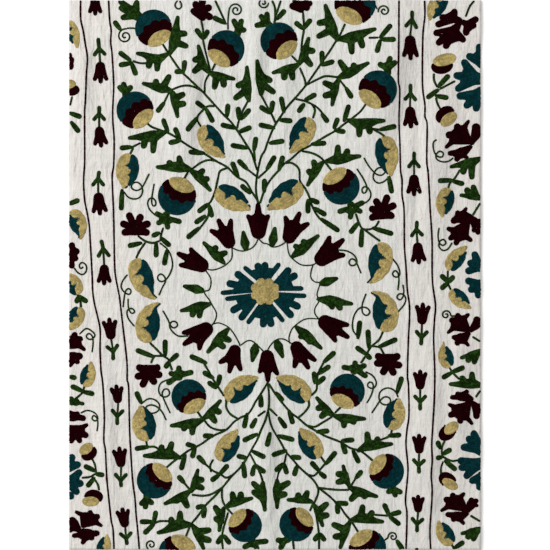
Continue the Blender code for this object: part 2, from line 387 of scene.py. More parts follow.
# The other maroon fans of the borders, one row a group of petals: the root, the heart and
# then the petals' round ends, each as the x, y and radius of a circle.
PALMETTES = (
    (470, 142, 1.8, 459.5, 135, 6, 446, 147.3, 1.1, 449, 135, 3, 457.5, 127, 3.1, 468.7, 120.8, 0.9),
    (471, 146.5, 1.3, 460, 152, 3.6, 450, 153.3, 2, 457, 159, 2.2, 467, 157.5, 1.4),
    (472, 143, 1.7, 476, 134.5, 4.2, 476.3, 127.3, 3.7),
    (470, 216.3, 2, 460, 218, 4.6, 454, 220.6, 2.8, 458, 213.2, 2.4, 466.3, 208.3, 1),
    (468.5, 221, 1.5, 460, 232.3, 5.2, 448.6, 228.8, 1.7, 450.7, 238, 2.1, 456.3, 243, 2, 470.8, 240, 1.6),
    (471, 217.5, 2, 476, 224.5, 4.2, 474, 230.5, 1.7, 478, 232.3, 2, 480, 222, 2.8),
    (469, 330.5, 1.5, 459, 322.6, 5.3, 448, 332.8, 0.9, 452.2, 320.3, 2.6, 458, 315.6, 2.3,
     468.5, 314.6, 1.1),
    (469.5, 333.4, 0.9, 460, 337.2, 3.4, 454, 337.4, 1.9, 457.2, 343, 2.2, 468.3, 345.2, 1.1),
    (471, 330.5, 1.6, 476, 325, 4, 477, 319.6, 2.8, 480, 322, 2.8),
    (471, 399, 2.2, 461, 396.9, 3.5, 452, 397.3, 1.7, 457.5, 394, 2.1, 466.6, 391.7, 1.8),
    (469.5, 403, 1.3, 460.5, 410, 4.8, 449.2, 404.4, 1.1, 450.8, 414.8, 2.4, 460, 420.6, 2.5,
     472, 423.7, 1.1),
    (473, 403, 1.7, 476.3, 409, 3.6, 476.6, 416, 2.8, 480, 407, 3),
    (467, 510.3, 1.3, 456, 502.3, 5, 441.5, 510.9, 1, 446.7, 500, 2.6, 453, 495.8, 2.5, 463.8, 493.8, 1.2),
    (468, 513.6, 0.9, 456, 515.2, 2.8, 447.8, 514.8, 1.9, 453.6, 519.8, 2, 463.4, 523.3, 1.4),
    (468, 511, 1.6, 471, 504, 3.8, 471.5, 500.5, 2.3, 476.4, 501, 1.8, 477.6, 505.8, 0.9),
    (67, 347, 2, 73.3, 341, 5.6, 84.3, 349.8, 1.1, 79.8, 339, 2.5, 74.5, 334.7, 2.3),
    (67, 356, 3, 74, 357, 4.4, 79.4, 356.2, 2.9, 77.2, 362, 1.9, 70, 365.8, 1.3),
    (67, 417.5, 3, 73.3, 416.8, 4.2, 83, 418.3, 2.3, 77, 414.3, 2.3, 70, 413.3, 2.3),
    (68, 427.5, 1.8, 75.5, 430.8, 5.2, 86.7, 425, 1.2, 85.4, 435.3, 2.5, 79.4, 440.8, 2.1, 71, 441, 2.1),
    (82.5, 526.5, 1.3, 89.8, 518.8, 4.6, 76, 512.2, 1.1, 90, 513, 2.2, 97.3, 516.8, 2.2,
     101, 525.8, 1.1),
    (80, 531, 1.6, 73, 524.5, 5.4, 72, 521.6, 4, 70, 530, 2.4),
    (83, 531.3, 2.2, 88.3, 533.8, 4.4, 96.7, 533.5, 2.3, 91.5, 538, 2.2, 82.5, 542.8, 1.6,
     73.7, 536, 1.6),
)

# The rosette's petals: fingers of each group, as tip and tip radius.
ROSETTE_PETALS = (
    (244, 267, 1.7, 257, 263.5, 3.0, 265, 262.5, 3.0, 279.5, 263.5, 1.7),
    (290, 268.5, 3.0, 297, 274.5, 3.0, 303, 288.5, 1.7),
    (306, 296, 1.7, 300, 307.5, 3.0, 292.5, 317, 3.0),
    (283.5, 321.5, 1.7, 271.5, 326.5, 3.0, 263, 327, 3.0, 247.5, 323.5, 1.7),
    (240, 319.5, 3.0, 231, 311.5, 3.0, 225.5, 299, 1.7),
    (221, 293, 1.7, 227, 283, 3.0, 235.5, 272.5, 3.0),
)

# Teal half-flowers of the borders: the root of each group, then its finger tips.
TEAL_FANS = (
    (486, 80, 463, 60, 454, 75, 456, 90), (486, 88, 457, 96, 465, 107, 476, 111),
    (488, 70, 467, 55, 479, 44), (486, 270, 468, 262, 474, 252, 466, 272),
    (486, 281, 466, 280, 469, 291, 478, 298), (487, 455, 473, 431, 467, 437, 461, 447),
    (487, 462, 458, 460, 459, 468, 465, 478), (488, 470, 470, 482, 479, 490),
    (60, 474, 73, 455, 80, 464), (60, 482, 81, 471, 83, 484, 78, 494), (62, 488, 73, 498, 66, 500),
)

# The rosette's eye: the middle, the distance to its small lobes and their radius.
EYE_MIDDLE = (265, 291.5)
EYE_REACH = 10.0
EYE_LOBE = 4.4
EYE_LOBES = 8
EYE_SQUASH = 0.92

# A strip tulip's two small leaves: how far along and how far beside its stem they end.
ARM_ALONG = 0.52
ARM_ASIDE = 6.0

# A pomegranate, as shares of its radius: how far out its eye is, half the eye's length and
# breadth, and the depth of the band's scallops. Then the scallops in each radian.
FRUIT_EYE_OUT = 0.70
FRUIT_EYE_HALVES = (0.72, 0.43)
SCALLOP_DEPTH = 0.16
SCALLOPS_A_RADIAN = 7.0

# A bud's cup: its half length and half breadth, as shares of its radius.
CUP_HALVES = (1.15, 0.85)

# Along a lobed leaf: where its spine is fixed, how far it bows there and its half width.
LEAF_ALONG = (0.32, 0.54, 0.76)
LEAF_BENDS = (1.0, 0.73, 0.18)
LEAF_WIDTHS = (0.138, 0.118, 0.062)
LEAF_END = 1.2

# How far a spiral has closed in on its middle when it ends, as a share of its radius.
SPIRAL_CLOSE = 0.82

# Border buds: gold ellipse (middle, half length, half breadth, degrees), then the middle
# and radius of the maroon cup behind it.
BUDS = (
    (444.6, 59.7, 11.8, 6.0, 14, 442.3, 65.5, 9.5), (448.5, 119.3, 9.6, 5.5, 38, 445, 115, 9.0),
    (451, 428, 8.2, 5.2, 40, 447, 432.5, 8.2), (450, 484, 8.6, 4.8, -30, 447.5, 480, 8.2),
    (86, 449, 7.5, 5.0, 35, 89, 453.5, 7.5), (90.5, 501.5, 8.4, 4.8, 0, 93.5, 497, 8.2),
    (69, 84, 7.0, 4.4, 0, 72, 90, 6.5),
)

# Stems of the field and the borders, each a single row.
STEM_LINES = (
    (162, 43, 169, 54, 180, 70, 190, 80, 203, 92), (172, 90, 180, 87, 188, 86, 196, 88, 205, 93),
    (203, 92, 214, 104, 223, 114, 231, 122, 239, 133, 246, 144, 251, 152, 254, 160, 257, 170),
    (133, 61, 140, 63, 146, 63), (170, 91, 164, 103),
    (147, 123, 152, 127, 163, 131, 172, 135, 181, 141, 192, 148, 205, 154, 216, 161, 227, 167,
     234, 174, 239, 178, 246, 182, 252, 192, 258, 201),
    (192, 169, 200, 163, 208, 160, 217, 161), (201, 20, 203, 30, 203, 40, 207, 58, 210, 70),
    (209, 74, 205, 82, 204.5, 92), (215, 64, 212, 70), (214, 106, 208, 106, 204, 109, 197, 118, 201, 127),
    (215, 0, 222, 15, 226, 24), (248, 101, 242, 112, 239, 120, 237, 128),
    (261, 95, 268, 108, 272, 115, 276, 124), (272, 0, 275, 8, 275, 20, 274, 23), (281, 0, 276, 15),
    (303, 12, 304, 28, 302, 42, 301, 62), (292, 56, 299, 63), (300, 68, 305, 80, 305.5, 86),
    (258, 203, 256, 191, 256.5, 179, 258, 170, 261, 157, 265, 150, 268, 141, 274, 127, 281, 116,
     288, 106, 296, 97, 306, 85, 316, 71, 322, 62, 329, 52, 336, 41, 337, 40),
    (345, 24, 340, 35, 337, 40), (306, 85, 318, 79, 326, 76, 338, 77),
    (296, 99, 305, 101, 312, 104, 318, 108, 324, 115), (312, 104, 315, 110, 313, 118),
    (369, 38, 378, 38), (340, 80, 346, 88),
    (366, 104, 360, 112, 350, 120, 343, 125, 335, 131, 326, 136, 311, 145, 300, 151, 291, 159,
     284, 164, 279, 170, 271, 179, 265, 189, 260, 203),
    (371, 129, 380, 130), (372, 129, 381, 134, 385, 137), (255, 161, 254, 151), (256, 176, 247, 169),
    (258, 178, 267, 170), (227, 168, 220, 171, 218, 178, 215, 191, 211, 201, 207, 205),
    (209, 206, 208, 216, 203, 224, 199, 229), (188, 172, 184, 179),
    (286, 163, 292, 163, 299, 169, 300, 181, 305, 188, 309, 196, 311, 203, 315, 212, 320, 219),
    (302, 151, 312, 153, 320, 157, 325, 162, 332, 171), (140, 143, 132, 147), (133, 148, 129, 156),
    (138, 236, 145, 241, 153, 243, 159, 241), (163, 228, 161, 235, 160, 241),
    (145, 243, 140, 250, 136, 258), (356, 214, 359, 223, 363, 229, 371, 229, 376, 226, 379, 221),
    (365, 230, 373, 236, 380, 241), (150, 343, 157, 350, 163, 356, 168, 359, 170, 365, 172, 370),
    (153, 358, 151, 363), (153, 356, 165, 356), (383, 332, 379, 340, 372, 346, 369, 350, 365, 357, 361, 363),
    (372, 346, 379, 347), (380, 347, 384, 354),
    (203, 362, 209, 372, 214, 381, 220, 390, 226, 400, 226, 407, 230, 414, 238, 419),
    (324, 362, 318, 374, 317, 385, 316, 391, 309, 398, 309, 406, 304, 413, 298, 418),
    (268, 382, 262, 392, 256, 401, 249, 413, 240, 418, 234, 422, 226, 430, 213, 436, 203, 443,
     196, 447, 188, 451, 180, 457, 173, 462, 165, 469),
    (197, 411, 201, 417, 204, 420, 210, 427, 218, 430, 226, 430),
    (268, 384, 269, 395, 269, 405, 268, 411, 265, 421, 261, 430, 257, 440, 252, 449, 247, 458,
     240, 468, 232, 476, 223, 487, 216, 495, 206, 505, 198, 516, 192, 523),
    (269, 384, 276, 395, 284, 405, 291, 413, 298, 418, 306, 425, 314, 430, 325, 436, 340, 442,
     350, 448, 360, 451, 366, 455, 373, 461),
    (341, 407, 335, 413), (308, 426, 315, 427, 322, 423, 332, 417),
    (268, 411, 271, 425, 276, 435, 281, 443, 286, 452, 293, 460, 300, 468, 309, 476, 314, 481,
     318, 488, 318, 494, 314, 504),
    (265, 411, 258, 416), (270, 409, 277, 416), (213, 460, 210, 466, 211, 472), (321, 457, 326, 464),
    (250, 454, 256, 465, 261, 475, 263, 482), (286, 455, 284, 464, 279, 472, 277, 479),
    (233, 475, 226, 478, 220, 474, 213, 471, 204, 463), (309, 475, 314, 476, 319, 471, 325, 464),
    (222, 488, 212, 494, 203, 496, 192, 495), (222, 489, 222, 498, 225, 506, 233, 515),
    (228, 513, 223, 530, 222, 540, 223, 550), (313, 504, 310, 511),
    (314, 505, 317, 520, 319, 535, 319, 550), (319, 488, 336, 490, 349, 490),
    (320, 489, 330, 497, 340, 507, 345, 514, 350, 520, 355, 527, 358, 532), (146, 440, 147, 446),
    (148, 447, 155, 447, 160, 451), (190, 490, 184, 483), (170, 521, 160, 521, 155, 523),
    (190, 526, 186, 536), (381, 440, 390, 436, 392, 430), (351, 486, 356, 478), (375, 515, 388, 516),
    (293, 541, 294, 550), (466, 16, 470, 6, 475, 0), (434, 74, 434, 80, 437, 87), (440, 89, 455, 81),
    (436, 98, 437, 103, 440, 109), (460, 170, 455, 178, 450, 183, 448, 189), (473, 215, 481, 202),
    (448, 271, 448, 282, 451, 290), (473, 337, 481, 342), (449, 367, 453, 373, 459, 379),
    (481, 390, 476, 397), (445, 440, 442, 447, 442, 455, 445, 458, 452, 461, 458, 460),
    (443, 462, 441, 468, 441, 476), (471, 516, 481, 522), (452, 545, 454, 549), (72, 97, 70, 105),
    (77, 293, 78, 298, 80, 300, 81, 308), (84, 387, 82, 393, 74, 400), (92, 459, 95, 465, 96, 472),
    (82, 478, 90, 477, 95, 474), (95, 480, 98, 485, 99, 490),
)

# The vine of the ring.
VINE_LINES = (
    (231, 247, 237, 250, 243, 251, 250, 249, 255, 245, 258, 239),
    (259, 239, 263, 243, 268, 244, 272, 247, 279, 246, 286, 242),
    (232, 248, 232, 257, 229, 262, 222, 267, 213, 270, 206, 269),
    (206, 271, 210, 277, 211, 283, 209, 290, 204, 292, 210, 301, 212, 305, 216, 312, 216, 318,
     213, 324, 211, 326),
    (213, 324, 219, 323, 228, 327, 234, 334, 239, 343, 240, 346),
    (241, 345, 247, 341, 252, 341, 258, 346, 264, 352),
    (267, 352, 270, 346, 276, 340, 283, 339, 289, 342, 292, 344),
    (289.5, 343, 289, 337, 292, 329, 296, 325, 303, 320, 310, 318.5, 318, 319),
    (319, 319, 315, 314, 315, 308, 319, 301, 317, 295, 318, 290, 320, 283, 315, 282, 311, 278,
     311, 272, 313, 265),
    (287, 243, 289, 254, 294, 260, 302, 265, 312, 265, 318, 262),
)

# Tendrils, most of them with a loop.
TENDRIL_LINES = (
    (140, 30, 134, 28, 127, 28), (228, 29, 228, 19, 229, 10), (375, 5, 377, 9),
    (186, 0, 181, -2, 175.5, 3, 175.5, 7, 178.5, 9, 181.5, 7, 181, 3, 178, -2),
    (124, 192, 128, 197, 134, 199, 140, 197, 142.5, 191, 141, 185, 136.5, 182, 132, 184,
     131.5, 188, 136, 190.5, 141, 188.5, 144, 184, 149, 174),
    (155, 215, 150, 210, 147.5, 204, 149, 199, 152.5, 198, 155.5, 201, 155.5, 205, 153, 206,
     151.5, 202, 152, 196, 154, 184),
    (389, 177, 384, 181.5, 378, 183, 373.5, 179, 374, 173, 378, 168, 383, 168, 385.5, 171.5,
     382, 175, 377, 174.5, 372, 170, 368, 165, 364, 158),
    (362, 204, 368, 201, 371, 195, 369, 189, 365, 186.5, 362, 189, 363, 193, 366, 192,
     367, 187, 363, 178, 357, 169),
    (160, 243, 168, 250, 172, 260, 172, 268, 168, 277, 163, 281.5, 158.5, 280.5, 157.5, 276.5,
     160.5, 274, 164, 276, 165.5, 281, 162, 288, 159, 295),
    (127, 275, 122.5, 281, 121, 287, 124, 292, 129, 294.5, 131, 291, 128.5, 288.5, 125.5, 291,
     124, 298, 123, 307),
    (393, 259, 398, 266, 400, 273, 398.5, 276.5, 395, 277, 392.5, 274, 395, 270.5, 398, 273,
     399, 280, 398, 290),
    (339, 250, 347, 251, 354, 255, 357, 261, 355, 265, 351, 265.5, 349, 262.5, 351, 259,
     355, 260, 358, 266, 361, 273),
    (134, 326, 129, 320, 127, 315, 127, 311, 129.5, 308.5, 133, 309, 134.5, 312, 131.5, 313.5,
     129, 310, 128, 305, 128, 299),
    (188, 336, 178, 336, 171, 330, 169.5, 325, 172, 321.5, 176, 322, 177.5, 325.5, 174, 328,
     170.5, 326, 168, 320, 163, 311),
    (398, 312, 404, 305, 406, 299, 403.5, 294.5, 399, 294, 397, 297.5, 400, 300, 403, 297,
     404, 291, 403, 285),
    (358, 337, 353, 330, 353, 320, 356, 312, 361, 307.5, 367, 308, 370, 312, 367, 315.5,
     363, 313.5, 362, 308, 363, 302, 366, 294),
    (170, 379, 161, 383, 158.5, 390, 161, 396, 166, 397, 169.5, 394, 168, 389.5, 164, 389.5,
     162, 394, 164, 400, 170, 413),
    (366, 372, 373, 376, 376.5, 383, 374, 388, 369.5, 388, 367.5, 385, 370, 382, 373, 384,
     373, 390, 370.5, 397, 367, 403),
    (141, 404, 148, 399, 155, 400, 159.5, 405, 158, 411, 152, 413.5, 146, 411.5, 146, 407,
     151, 405, 157, 407, 162, 412, 166, 420),
    (398, 397, 395, 391, 388, 388, 381, 391, 379, 397, 381, 403, 386, 405, 390.5, 402.5,
     389.5, 398, 384.5, 397, 380, 401, 376, 407, 372, 413),
    (384, 541, 388, 538),
    (453, 158, 449, 161, 443, 162, 437, 160, 435.5, 155.5, 439, 151.5, 443, 153, 442, 157,
     437, 156.5, 433.5, 151, 433, 143, 436, 140),
    (452, 243, 448, 249, 443, 250.5, 439, 246.5, 440, 241, 444, 239.5, 446, 243, 443, 245.5,
     439.5, 243, 438, 236, 439, 228),
    (455, 316, 451, 316),
    (74, 268, 78, 273, 83, 274.5, 86.5, 270, 85.5, 264.5, 81.5, 262.5, 79, 265.5, 80.5, 268.5,
     83, 267),
    (79.5, 334, 86.5, 328.5, 94.5, 334, 93, 338.5, 89, 339.5, 86, 336.5, 88.5, 333.5, 92, 336,
     93, 343, 92, 352),
    (81, 413, 87, 410.5, 95, 413, 98, 418, 95.5, 421, 92, 419, 93.5, 415.5, 97, 418, 98, 424,
     97, 431),
)

# Spirals: middle, outer radius, the angle in degrees where they start, and their turns.
SPIRALS = (
    (125, 36, 7.5, -80, -1.6), (236, 10, 7, 180, 1.6), (263, 3, 5.5, 0, 1.4), (384, 11, 6, 170, 1.5),
    (151, 545, 5.5, 90, 1.4), (393, 537, 5, 170, 1.4), (446, 315, 5, 10, -1.4),
)


def from_hex(text):
    """An sRGB hex colour as linear red, green and blue."""
    parts = [int(text[i:i + 2], 16) / 255 for i in (1, 3, 5)]
    return tuple(c / 12.92 if c <= 0.04045 else ((c + 0.055) / 1.055) ** 2.4 for c in parts)


def to_cloth(points):
    """Places on the drawing, in photo pixels, as places on the cloth in metres."""
    points = np.asarray(points, dtype=float)
    x = (points[..., 0] - PHOTO_MIDDLE) * METRES_A_PIXEL
    y = (PHOTO_MIDDLE - points[..., 1]) * METRES_A_PIXEL
    return x, y


def smooth_step(share):
    """0 below 0, 1 above 1, and an even S between them."""
    share = np.clip(share, 0.0, 1.0)
    return share * share * (3.0 - 2.0 * share)


def fold_rise(fold, x, y):
    """How far one fold lifts the cloth at each place."""
    along = (y - fold["low_y"]) / (fold["high_y"] - fold["low_y"])
    low, mid, high = fold["low_x"], fold["mid_x"], fold["high_x"]
    crest = low + (high - low) * along + 2.0 * (low + high - 2.0 * mid) * along * (along - 1.0)
    across = (x - crest) / np.where(x < crest, fold["left"], fold["right"])
    ends = smooth_step(along / FOLD_END_SHARE) * smooth_step((1.0 - along) / FOLD_END_SHARE)
    return fold["rise"] * ends * np.clip(1.0 - across * across, 0.0, None) ** 2


def crease_rise(row, x, y):
    """The small ridge of one pressed crease, dying out towards its ends."""
    start_x, start_y = to_cloth(row[0:2])
    end_x, end_y = to_cloth(row[2:4])
    half_width, height = row[4:6]
    along_x, along_y = end_x - start_x, end_y - start_y
    length = math.hypot(along_x, along_y)
    share = ((x - start_x) * along_x + (y - start_y) * along_y) / length ** 2
    across = ((x - start_x) * along_y - (y - start_y) * along_x) / length
    ends = smooth_step(share / CREASE_END_SHARE) * smooth_step((1.0 - share) / CREASE_END_SHARE)
    return height * ends * np.exp(-(across / half_width) ** 2)


def wrinkle_rise(settings, x, y):
    """Small soft wrinkles that run mostly up the cloth, as a sum of long waves."""
    draw = np.random.default_rng(settings.seed)
    total = np.zeros_like(x)
    for _ in range(settings.wrinkle_waves):
        length = draw.uniform(*WRINKLE_WAVES)
        turn = draw.normal(0.0, WRINKLE_TURN)
        start = draw.uniform(0.0, 2.0 * math.pi)
        place = (x * math.cos(turn) + y * math.sin(turn)) / length
        total += length * np.sin(2.0 * math.pi * place + start)
    return np.clip(settings.wrinkle_slope * total, -WRINKLE_LIMIT, WRINKLE_LIMIT) + WRINKLE_LIMIT


def underside_height(settings, x, y):
    """The height of the cloth's lower face over the surface, at each place."""
    height = np.zeros_like(x)
    for row in FOLD_ROWS:
        height += fold_rise(dict(zip(FOLD_COLUMNS, row)), x, y)
    for row in CREASE_ROWS:
        height += crease_rise(row, x, y)
    return height + wrinkle_rise(settings, x, y)


def face_height(settings, x, y):
    """The height of the cloth's upper face, and the way that face looks."""
    height = underside_height(settings, x, y)
    slope_x = (underside_height(settings, x + SLOPE_STEP, y) - height) / SLOPE_STEP
    slope_y = (underside_height(settings, x, y + SLOPE_STEP) - height) / SLOPE_STEP
    normal = np.stack((-slope_x, -slope_y, np.ones_like(x)), axis=-1)
    normal /= np.linalg.norm(normal, axis=-1, keepdims=True)
    return height + settings.cloth_thickness, normal


def lobe_depth(x, y, lobe):
    """How deep each place is in one lobe: a straight run between two round ends."""
    start_x, start_y, end_x, end_y, start_radius, end_radius = lobe
    run_x, run_y = end_x - start_x, end_y - start_y
    share = ((x - start_x) * run_x + (y - start_y) * run_y) / (run_x ** 2 + run_y ** 2 + TINY)
    share = np.clip(share, 0.0, 1.0)
    radius = start_radius + (end_radius - start_radius) * share + MOTIF_GROWTH
    return radius - np.hypot(x - start_x - share * run_x, y - start_y - share * run_y)


def joined_depth(lobes):
    """The depth inside a shape made of several lobes."""
    def depth(x, y):
        deepest = lobe_depth(x, y, lobes[0])
        for lobe in lobes[1:]:
            deepest = np.maximum(deepest, lobe_depth(x, y, lobe))
        return deepest
    return depth


def ellipse_depth(x, y, middle, half_length, half_breadth, degrees):
    """How deep each place is in a turned ellipse."""
    turn = math.radians(degrees)
    along = (x - middle[0]) * math.cos(turn) - (y - middle[1]) * math.sin(turn)
    across = (x - middle[0]) * math.sin(turn) + (y - middle[1]) * math.cos(turn)
    reach = np.hypot(along / half_length, across / half_breadth) + TINY
    steepness = np.hypot(along / half_length ** 2, across / half_breadth ** 2) + TINY
    return (1.0 - reach) * reach / steepness


def lobe_bounds(lobes):
    """The lowest and highest places that a group of lobes reaches."""
    table = np.array(lobes)
    reach = table[:, 4:6].max() + 1.0
    xs = table[:, (0, 2)]
    ys = table[:, (1, 3)]
    return xs.min() - reach, ys.min() - reach, xs.max() + reach, ys.max() + reach


def unit(x, y):
    """The direction of a step, and its length."""
    length = math.hypot(x, y) + TINY
    return x / length, y / length, length


def spine_lobes(points, radii):
    """Lobes end to end along a bent spine."""
    return [(*a, *b, *ends) for a, b, ends in zip(points, points[1:], zip(radii, radii[1:]))]


def finger(start, tip, start_radius, tip_radius):
    """One lobe whose round end just reaches its tip."""
    way_x, way_y, length = unit(tip[0] - start[0], tip[1] - start[1])
    reach = max(length - tip_radius, SHORTEST_LOBE)
    return (start[0], start[1], start[0] + way_x * reach, start[1] + way_y * reach,
            start_radius, tip_radius)


def pairs(row):
    """A flat row of numbers as places."""
    return [(row[i], row[i + 1]) for i in range(0, len(row), 2)]


def triples(row):
    """A flat row of numbers as circles: x, y and radius."""
    return [row[i:i + 3] for i in range(0, len(row), 3)]


def hand_of(root, tip, side):
    """Positive or negative, for the side of the way from root to tip that a place is on."""
    return (tip[1] - root[1]) * (side[0] - root[0]) - (tip[0] - root[0]) * (side[1] - root[1])


def between(start, end, share, sideways=0.0):
    """A place part of the way from one to another, moved to the left of the way."""
    way_x, way_y, length = unit(end[0] - start[0], end[1] - start[1])
    along = share * length
    return (start[0] + way_x * along + way_y * sideways, start[1] + way_y * along - way_x * sideways)


# In the shapes below, a place is a share of the way from root to tip. A width is a share of
# that length where it is multiplied by it, and otherwise a radius in photo pixels.


def club_lobes(row):
    """A small leaf: narrow at its root and round at its tip."""
    root, tip = pairs(row)
    waist = between(root, tip, 0.30)
    return spine_lobes((root, waist), (1.0, 1.8)) + [finger(waist, tip, 1.8, 2.0)]


def plain_leaf_lobes(row):
    """A leaf of the ring: full in its root half and drawn out to a tip."""
    root, tip = pairs(row)
    belly = between(root, tip, 0.36)
    return spine_lobes((between(root, tip, 0.12), belly), (2.4, 4.1)) + [finger(belly, tip, 4.1, 1.1)]


def lobed_leaf_lobes(row):
    """A leaf with a long tip, a smooth full side and two lobes on the other."""
    root, tip, outer, inner = pairs(row[:8])
    bow = row[8] if len(row) > 8 else LEAF_BOW
    length = math.dist(root, tip)
    lean = math.copysign(length, hand_of(root, tip, outer))
    belly, chest, neck = [
        between(root, tip, along, bend * bow * lean) for along, bend in zip(LEAF_ALONG, LEAF_BENDS)
    ]
    radii = (LEAF_END, *(width * length for width in LEAF_WIDTHS))
    lobes = spine_lobes((root, belly, chest, neck), radii)
    lobes.append(finger(neck, tip, radii[3], LEAF_END))
    lobes.append(finger(chest, outer, 3.2, 2.5))
    lobes.append(finger(belly, inner, 3.4, 2.2))
    return lobes


def ring_tulip_lobes(row):
    """A cup with a round foot and three petals."""
    root, tip, *sides = pairs(row)
    length = math.dist(root, tip)
    foot, belly = between(root, tip, 0.18), between(root, tip, 0.44)
    lobes = spine_lobes((foot, belly), (0.195 * length, 0.262 * length))
    lobes.append(finger(belly, tip, 0.13 * length, 1.7))
    for side in sides:
        start = between(root, tip, 0.46, math.copysign(0.145 * length, hand_of(root, tip, side)))
        lobes.append(finger(start, side, 0.115 * length, 1.6))
    return lobes


def strip_tulip_lobes(root, tip):
    """A small full bell with three short petals."""
    length = math.dist(root, tip)
    foot, belly = between(root, tip, 0.20), between(root, tip, 0.52)
    lobes = spine_lobes((foot, belly), (0.20 * length, 0.245 * length))
    lobes.append(finger(belly, tip, 0.11 * length, 1.5))
    for side in (-length, length):
        start = between(root, tip, 0.52, 0.15 * side)
        end = between(root, tip, 0.87, 0.31 * side)
        lobes.append(finger(start, end, 0.10 * length, 1.4))
    return lobes


def fan_lobes(row, root_radius, tip_radius, web):
    """Round fingers that spread from one root and are joined for a share of their length."""
    root, *tips = pairs(row)
    middle = (sum(t[0] for t in tips) / len(tips), sum(t[1] for t in tips) / len(tips))
    heart = between(root, middle, 0.40)
    heart_radius = max(tip_radius, 0.22 * math.dist(root, middle))
    lobes = spine_lobes((root, heart), (root_radius, heart_radius))
    lobes += [finger(heart, tip, 0.9 * heart_radius, tip_radius) for tip in tips]
    web_radius = 0.85 * tip_radius
    for one, two in zip(tips, tips[1:]):
        for share in (0.3 * web, 0.65 * web, web):
            ends = (*between(heart, one, share), *between(heart, two, share))
            lobes.append((*ends, web_radius, web_radius))
    return lobes


def palmette_lobes(row):
    """Round fingers that spread from a full heart, joined for two thirds of their length."""
    root, heart, *tips = triples(row)
    lobes = [(*root[:2], *heart[:2], root[2], heart[2])]
    lobes += [(*heart[:2], x, y, max(0.6 * heart[2], radius), radius) for x, y, radius in tips]
    for x, y, radius in (tips[0], tips[-1]):
        lobes.append((*root[:2], *between(heart[:2], (x, y), 0.60), root[2], max(radius, 1.3)))
    for one, two in zip(tips, tips[1:]):
        for share in (0.45, 0.66):
            ends = (*between(heart[:2], one[:2], share), *between(heart[:2], two[:2], share))
            lobes.append((*ends, one[2], two[2]))
    return lobes


def flower_lobes(row, petal_radius):
    """Long round petals about one middle, with a straight foot."""
    middle, *tips = pairs(row)
    lobes = [(*middle, *middle, petal_radius * 1.6, petal_radius * 1.6)]
    lobes += [finger(middle, tip, petal_radius * 0.8, petal_radius) for tip in tips]
    ends = [between(middle, tip, 0.70) for tip in (tips[0], tips[-1])]
    lobes.append((*ends[0], *ends[1], petal_radius * 0.95, petal_radius * 0.95))
    return lobes


def rosette_lobes(row):
    """One group of the rosette's petals: fingers from the eye, joined for half their length."""
    fingers = triples(row)
    angles = [math.atan2(y - EYE_MIDDLE[1], x - EYE_MIDDLE[0]) for x, y, _ in fingers]
    first = angles[0]
    angles = [first + math.remainder(angle - first, 2.0 * math.pi) for angle in angles]
    middle = sum(angles) / len(angles)
    lobes, webs = [], []
    for (x, y, radius), angle in zip(fingers, angles):
        start_angle = middle + 0.34 * (angle - middle)
        start = (EYE_MIDDLE[0] + EYE_REACH * math.cos(start_angle),
                 EYE_MIDDLE[1] + EYE_REACH * math.sin(start_angle))
        root_radius = min(2.4, radius + 0.2)
        lobes.append(finger(start, (x, y), root_radius, radius))
        web_radius = min(2.1, radius)
        webs.append([(between(start, (x, y), share), web_radius) for share in (0.20, 0.42, 0.60)])
    for one, two in zip(webs, webs[1:]):
        lobes += [(*a, *b, a_radius, b_radius) for (a, a_radius), (b, b_radius) in zip(one, two)]
    return lobes


def line_length(points):
    """The length of a line through some places."""
    return np.hypot(*np.diff(points, axis=0).T).sum()


def smooth_line(row, step):
    """A smooth curve through a flat row of places, as closely spaced points."""
    points = np.array(pairs(row), dtype=float)
    if len(points) == 2:
        count = max(int(math.dist(*points) / step), 1) + 1
        return points[0] + np.linspace(0.0, 1.0, count)[:, None] * (points[1] - points[0])
    held = np.vstack((2 * points[0] - points[1], points, 2 * points[-1] - points[-2]))
    runs = []
    for a, b, c, d in zip(held, held[1:], held[2:], held[3:]):
        count = max(int(math.dist(b, c) / step), 1)
        t = (np.arange(count) / count)[:, None]
        bend = 2 * a - 5 * b + 4 * c - d
        twist = 3 * b - a - 3 * c + d
        runs.append(0.5 * (2 * b + (c - a) * t + bend * t ** 2 + twist * t ** 3))
    return np.vstack(runs + [points[-1:]])


def spiral_line(middle, radius, start_degrees, turns, step):
    """A spiral that winds in towards a middle, as closely spaced points."""
    count = int(abs(turns) * 2.0 * math.pi * radius / step)
    share = np.linspace(0.0, 1.0, count)
    angle = np.radians(start_degrees) + 2.0 * math.pi * turns * share
    reach = radius * (1.0 - SPIRAL_CLOSE * share)
    return np.stack((middle[0] + reach * np.cos(angle), middle[1] + reach * np.sin(angle)), axis=-1)


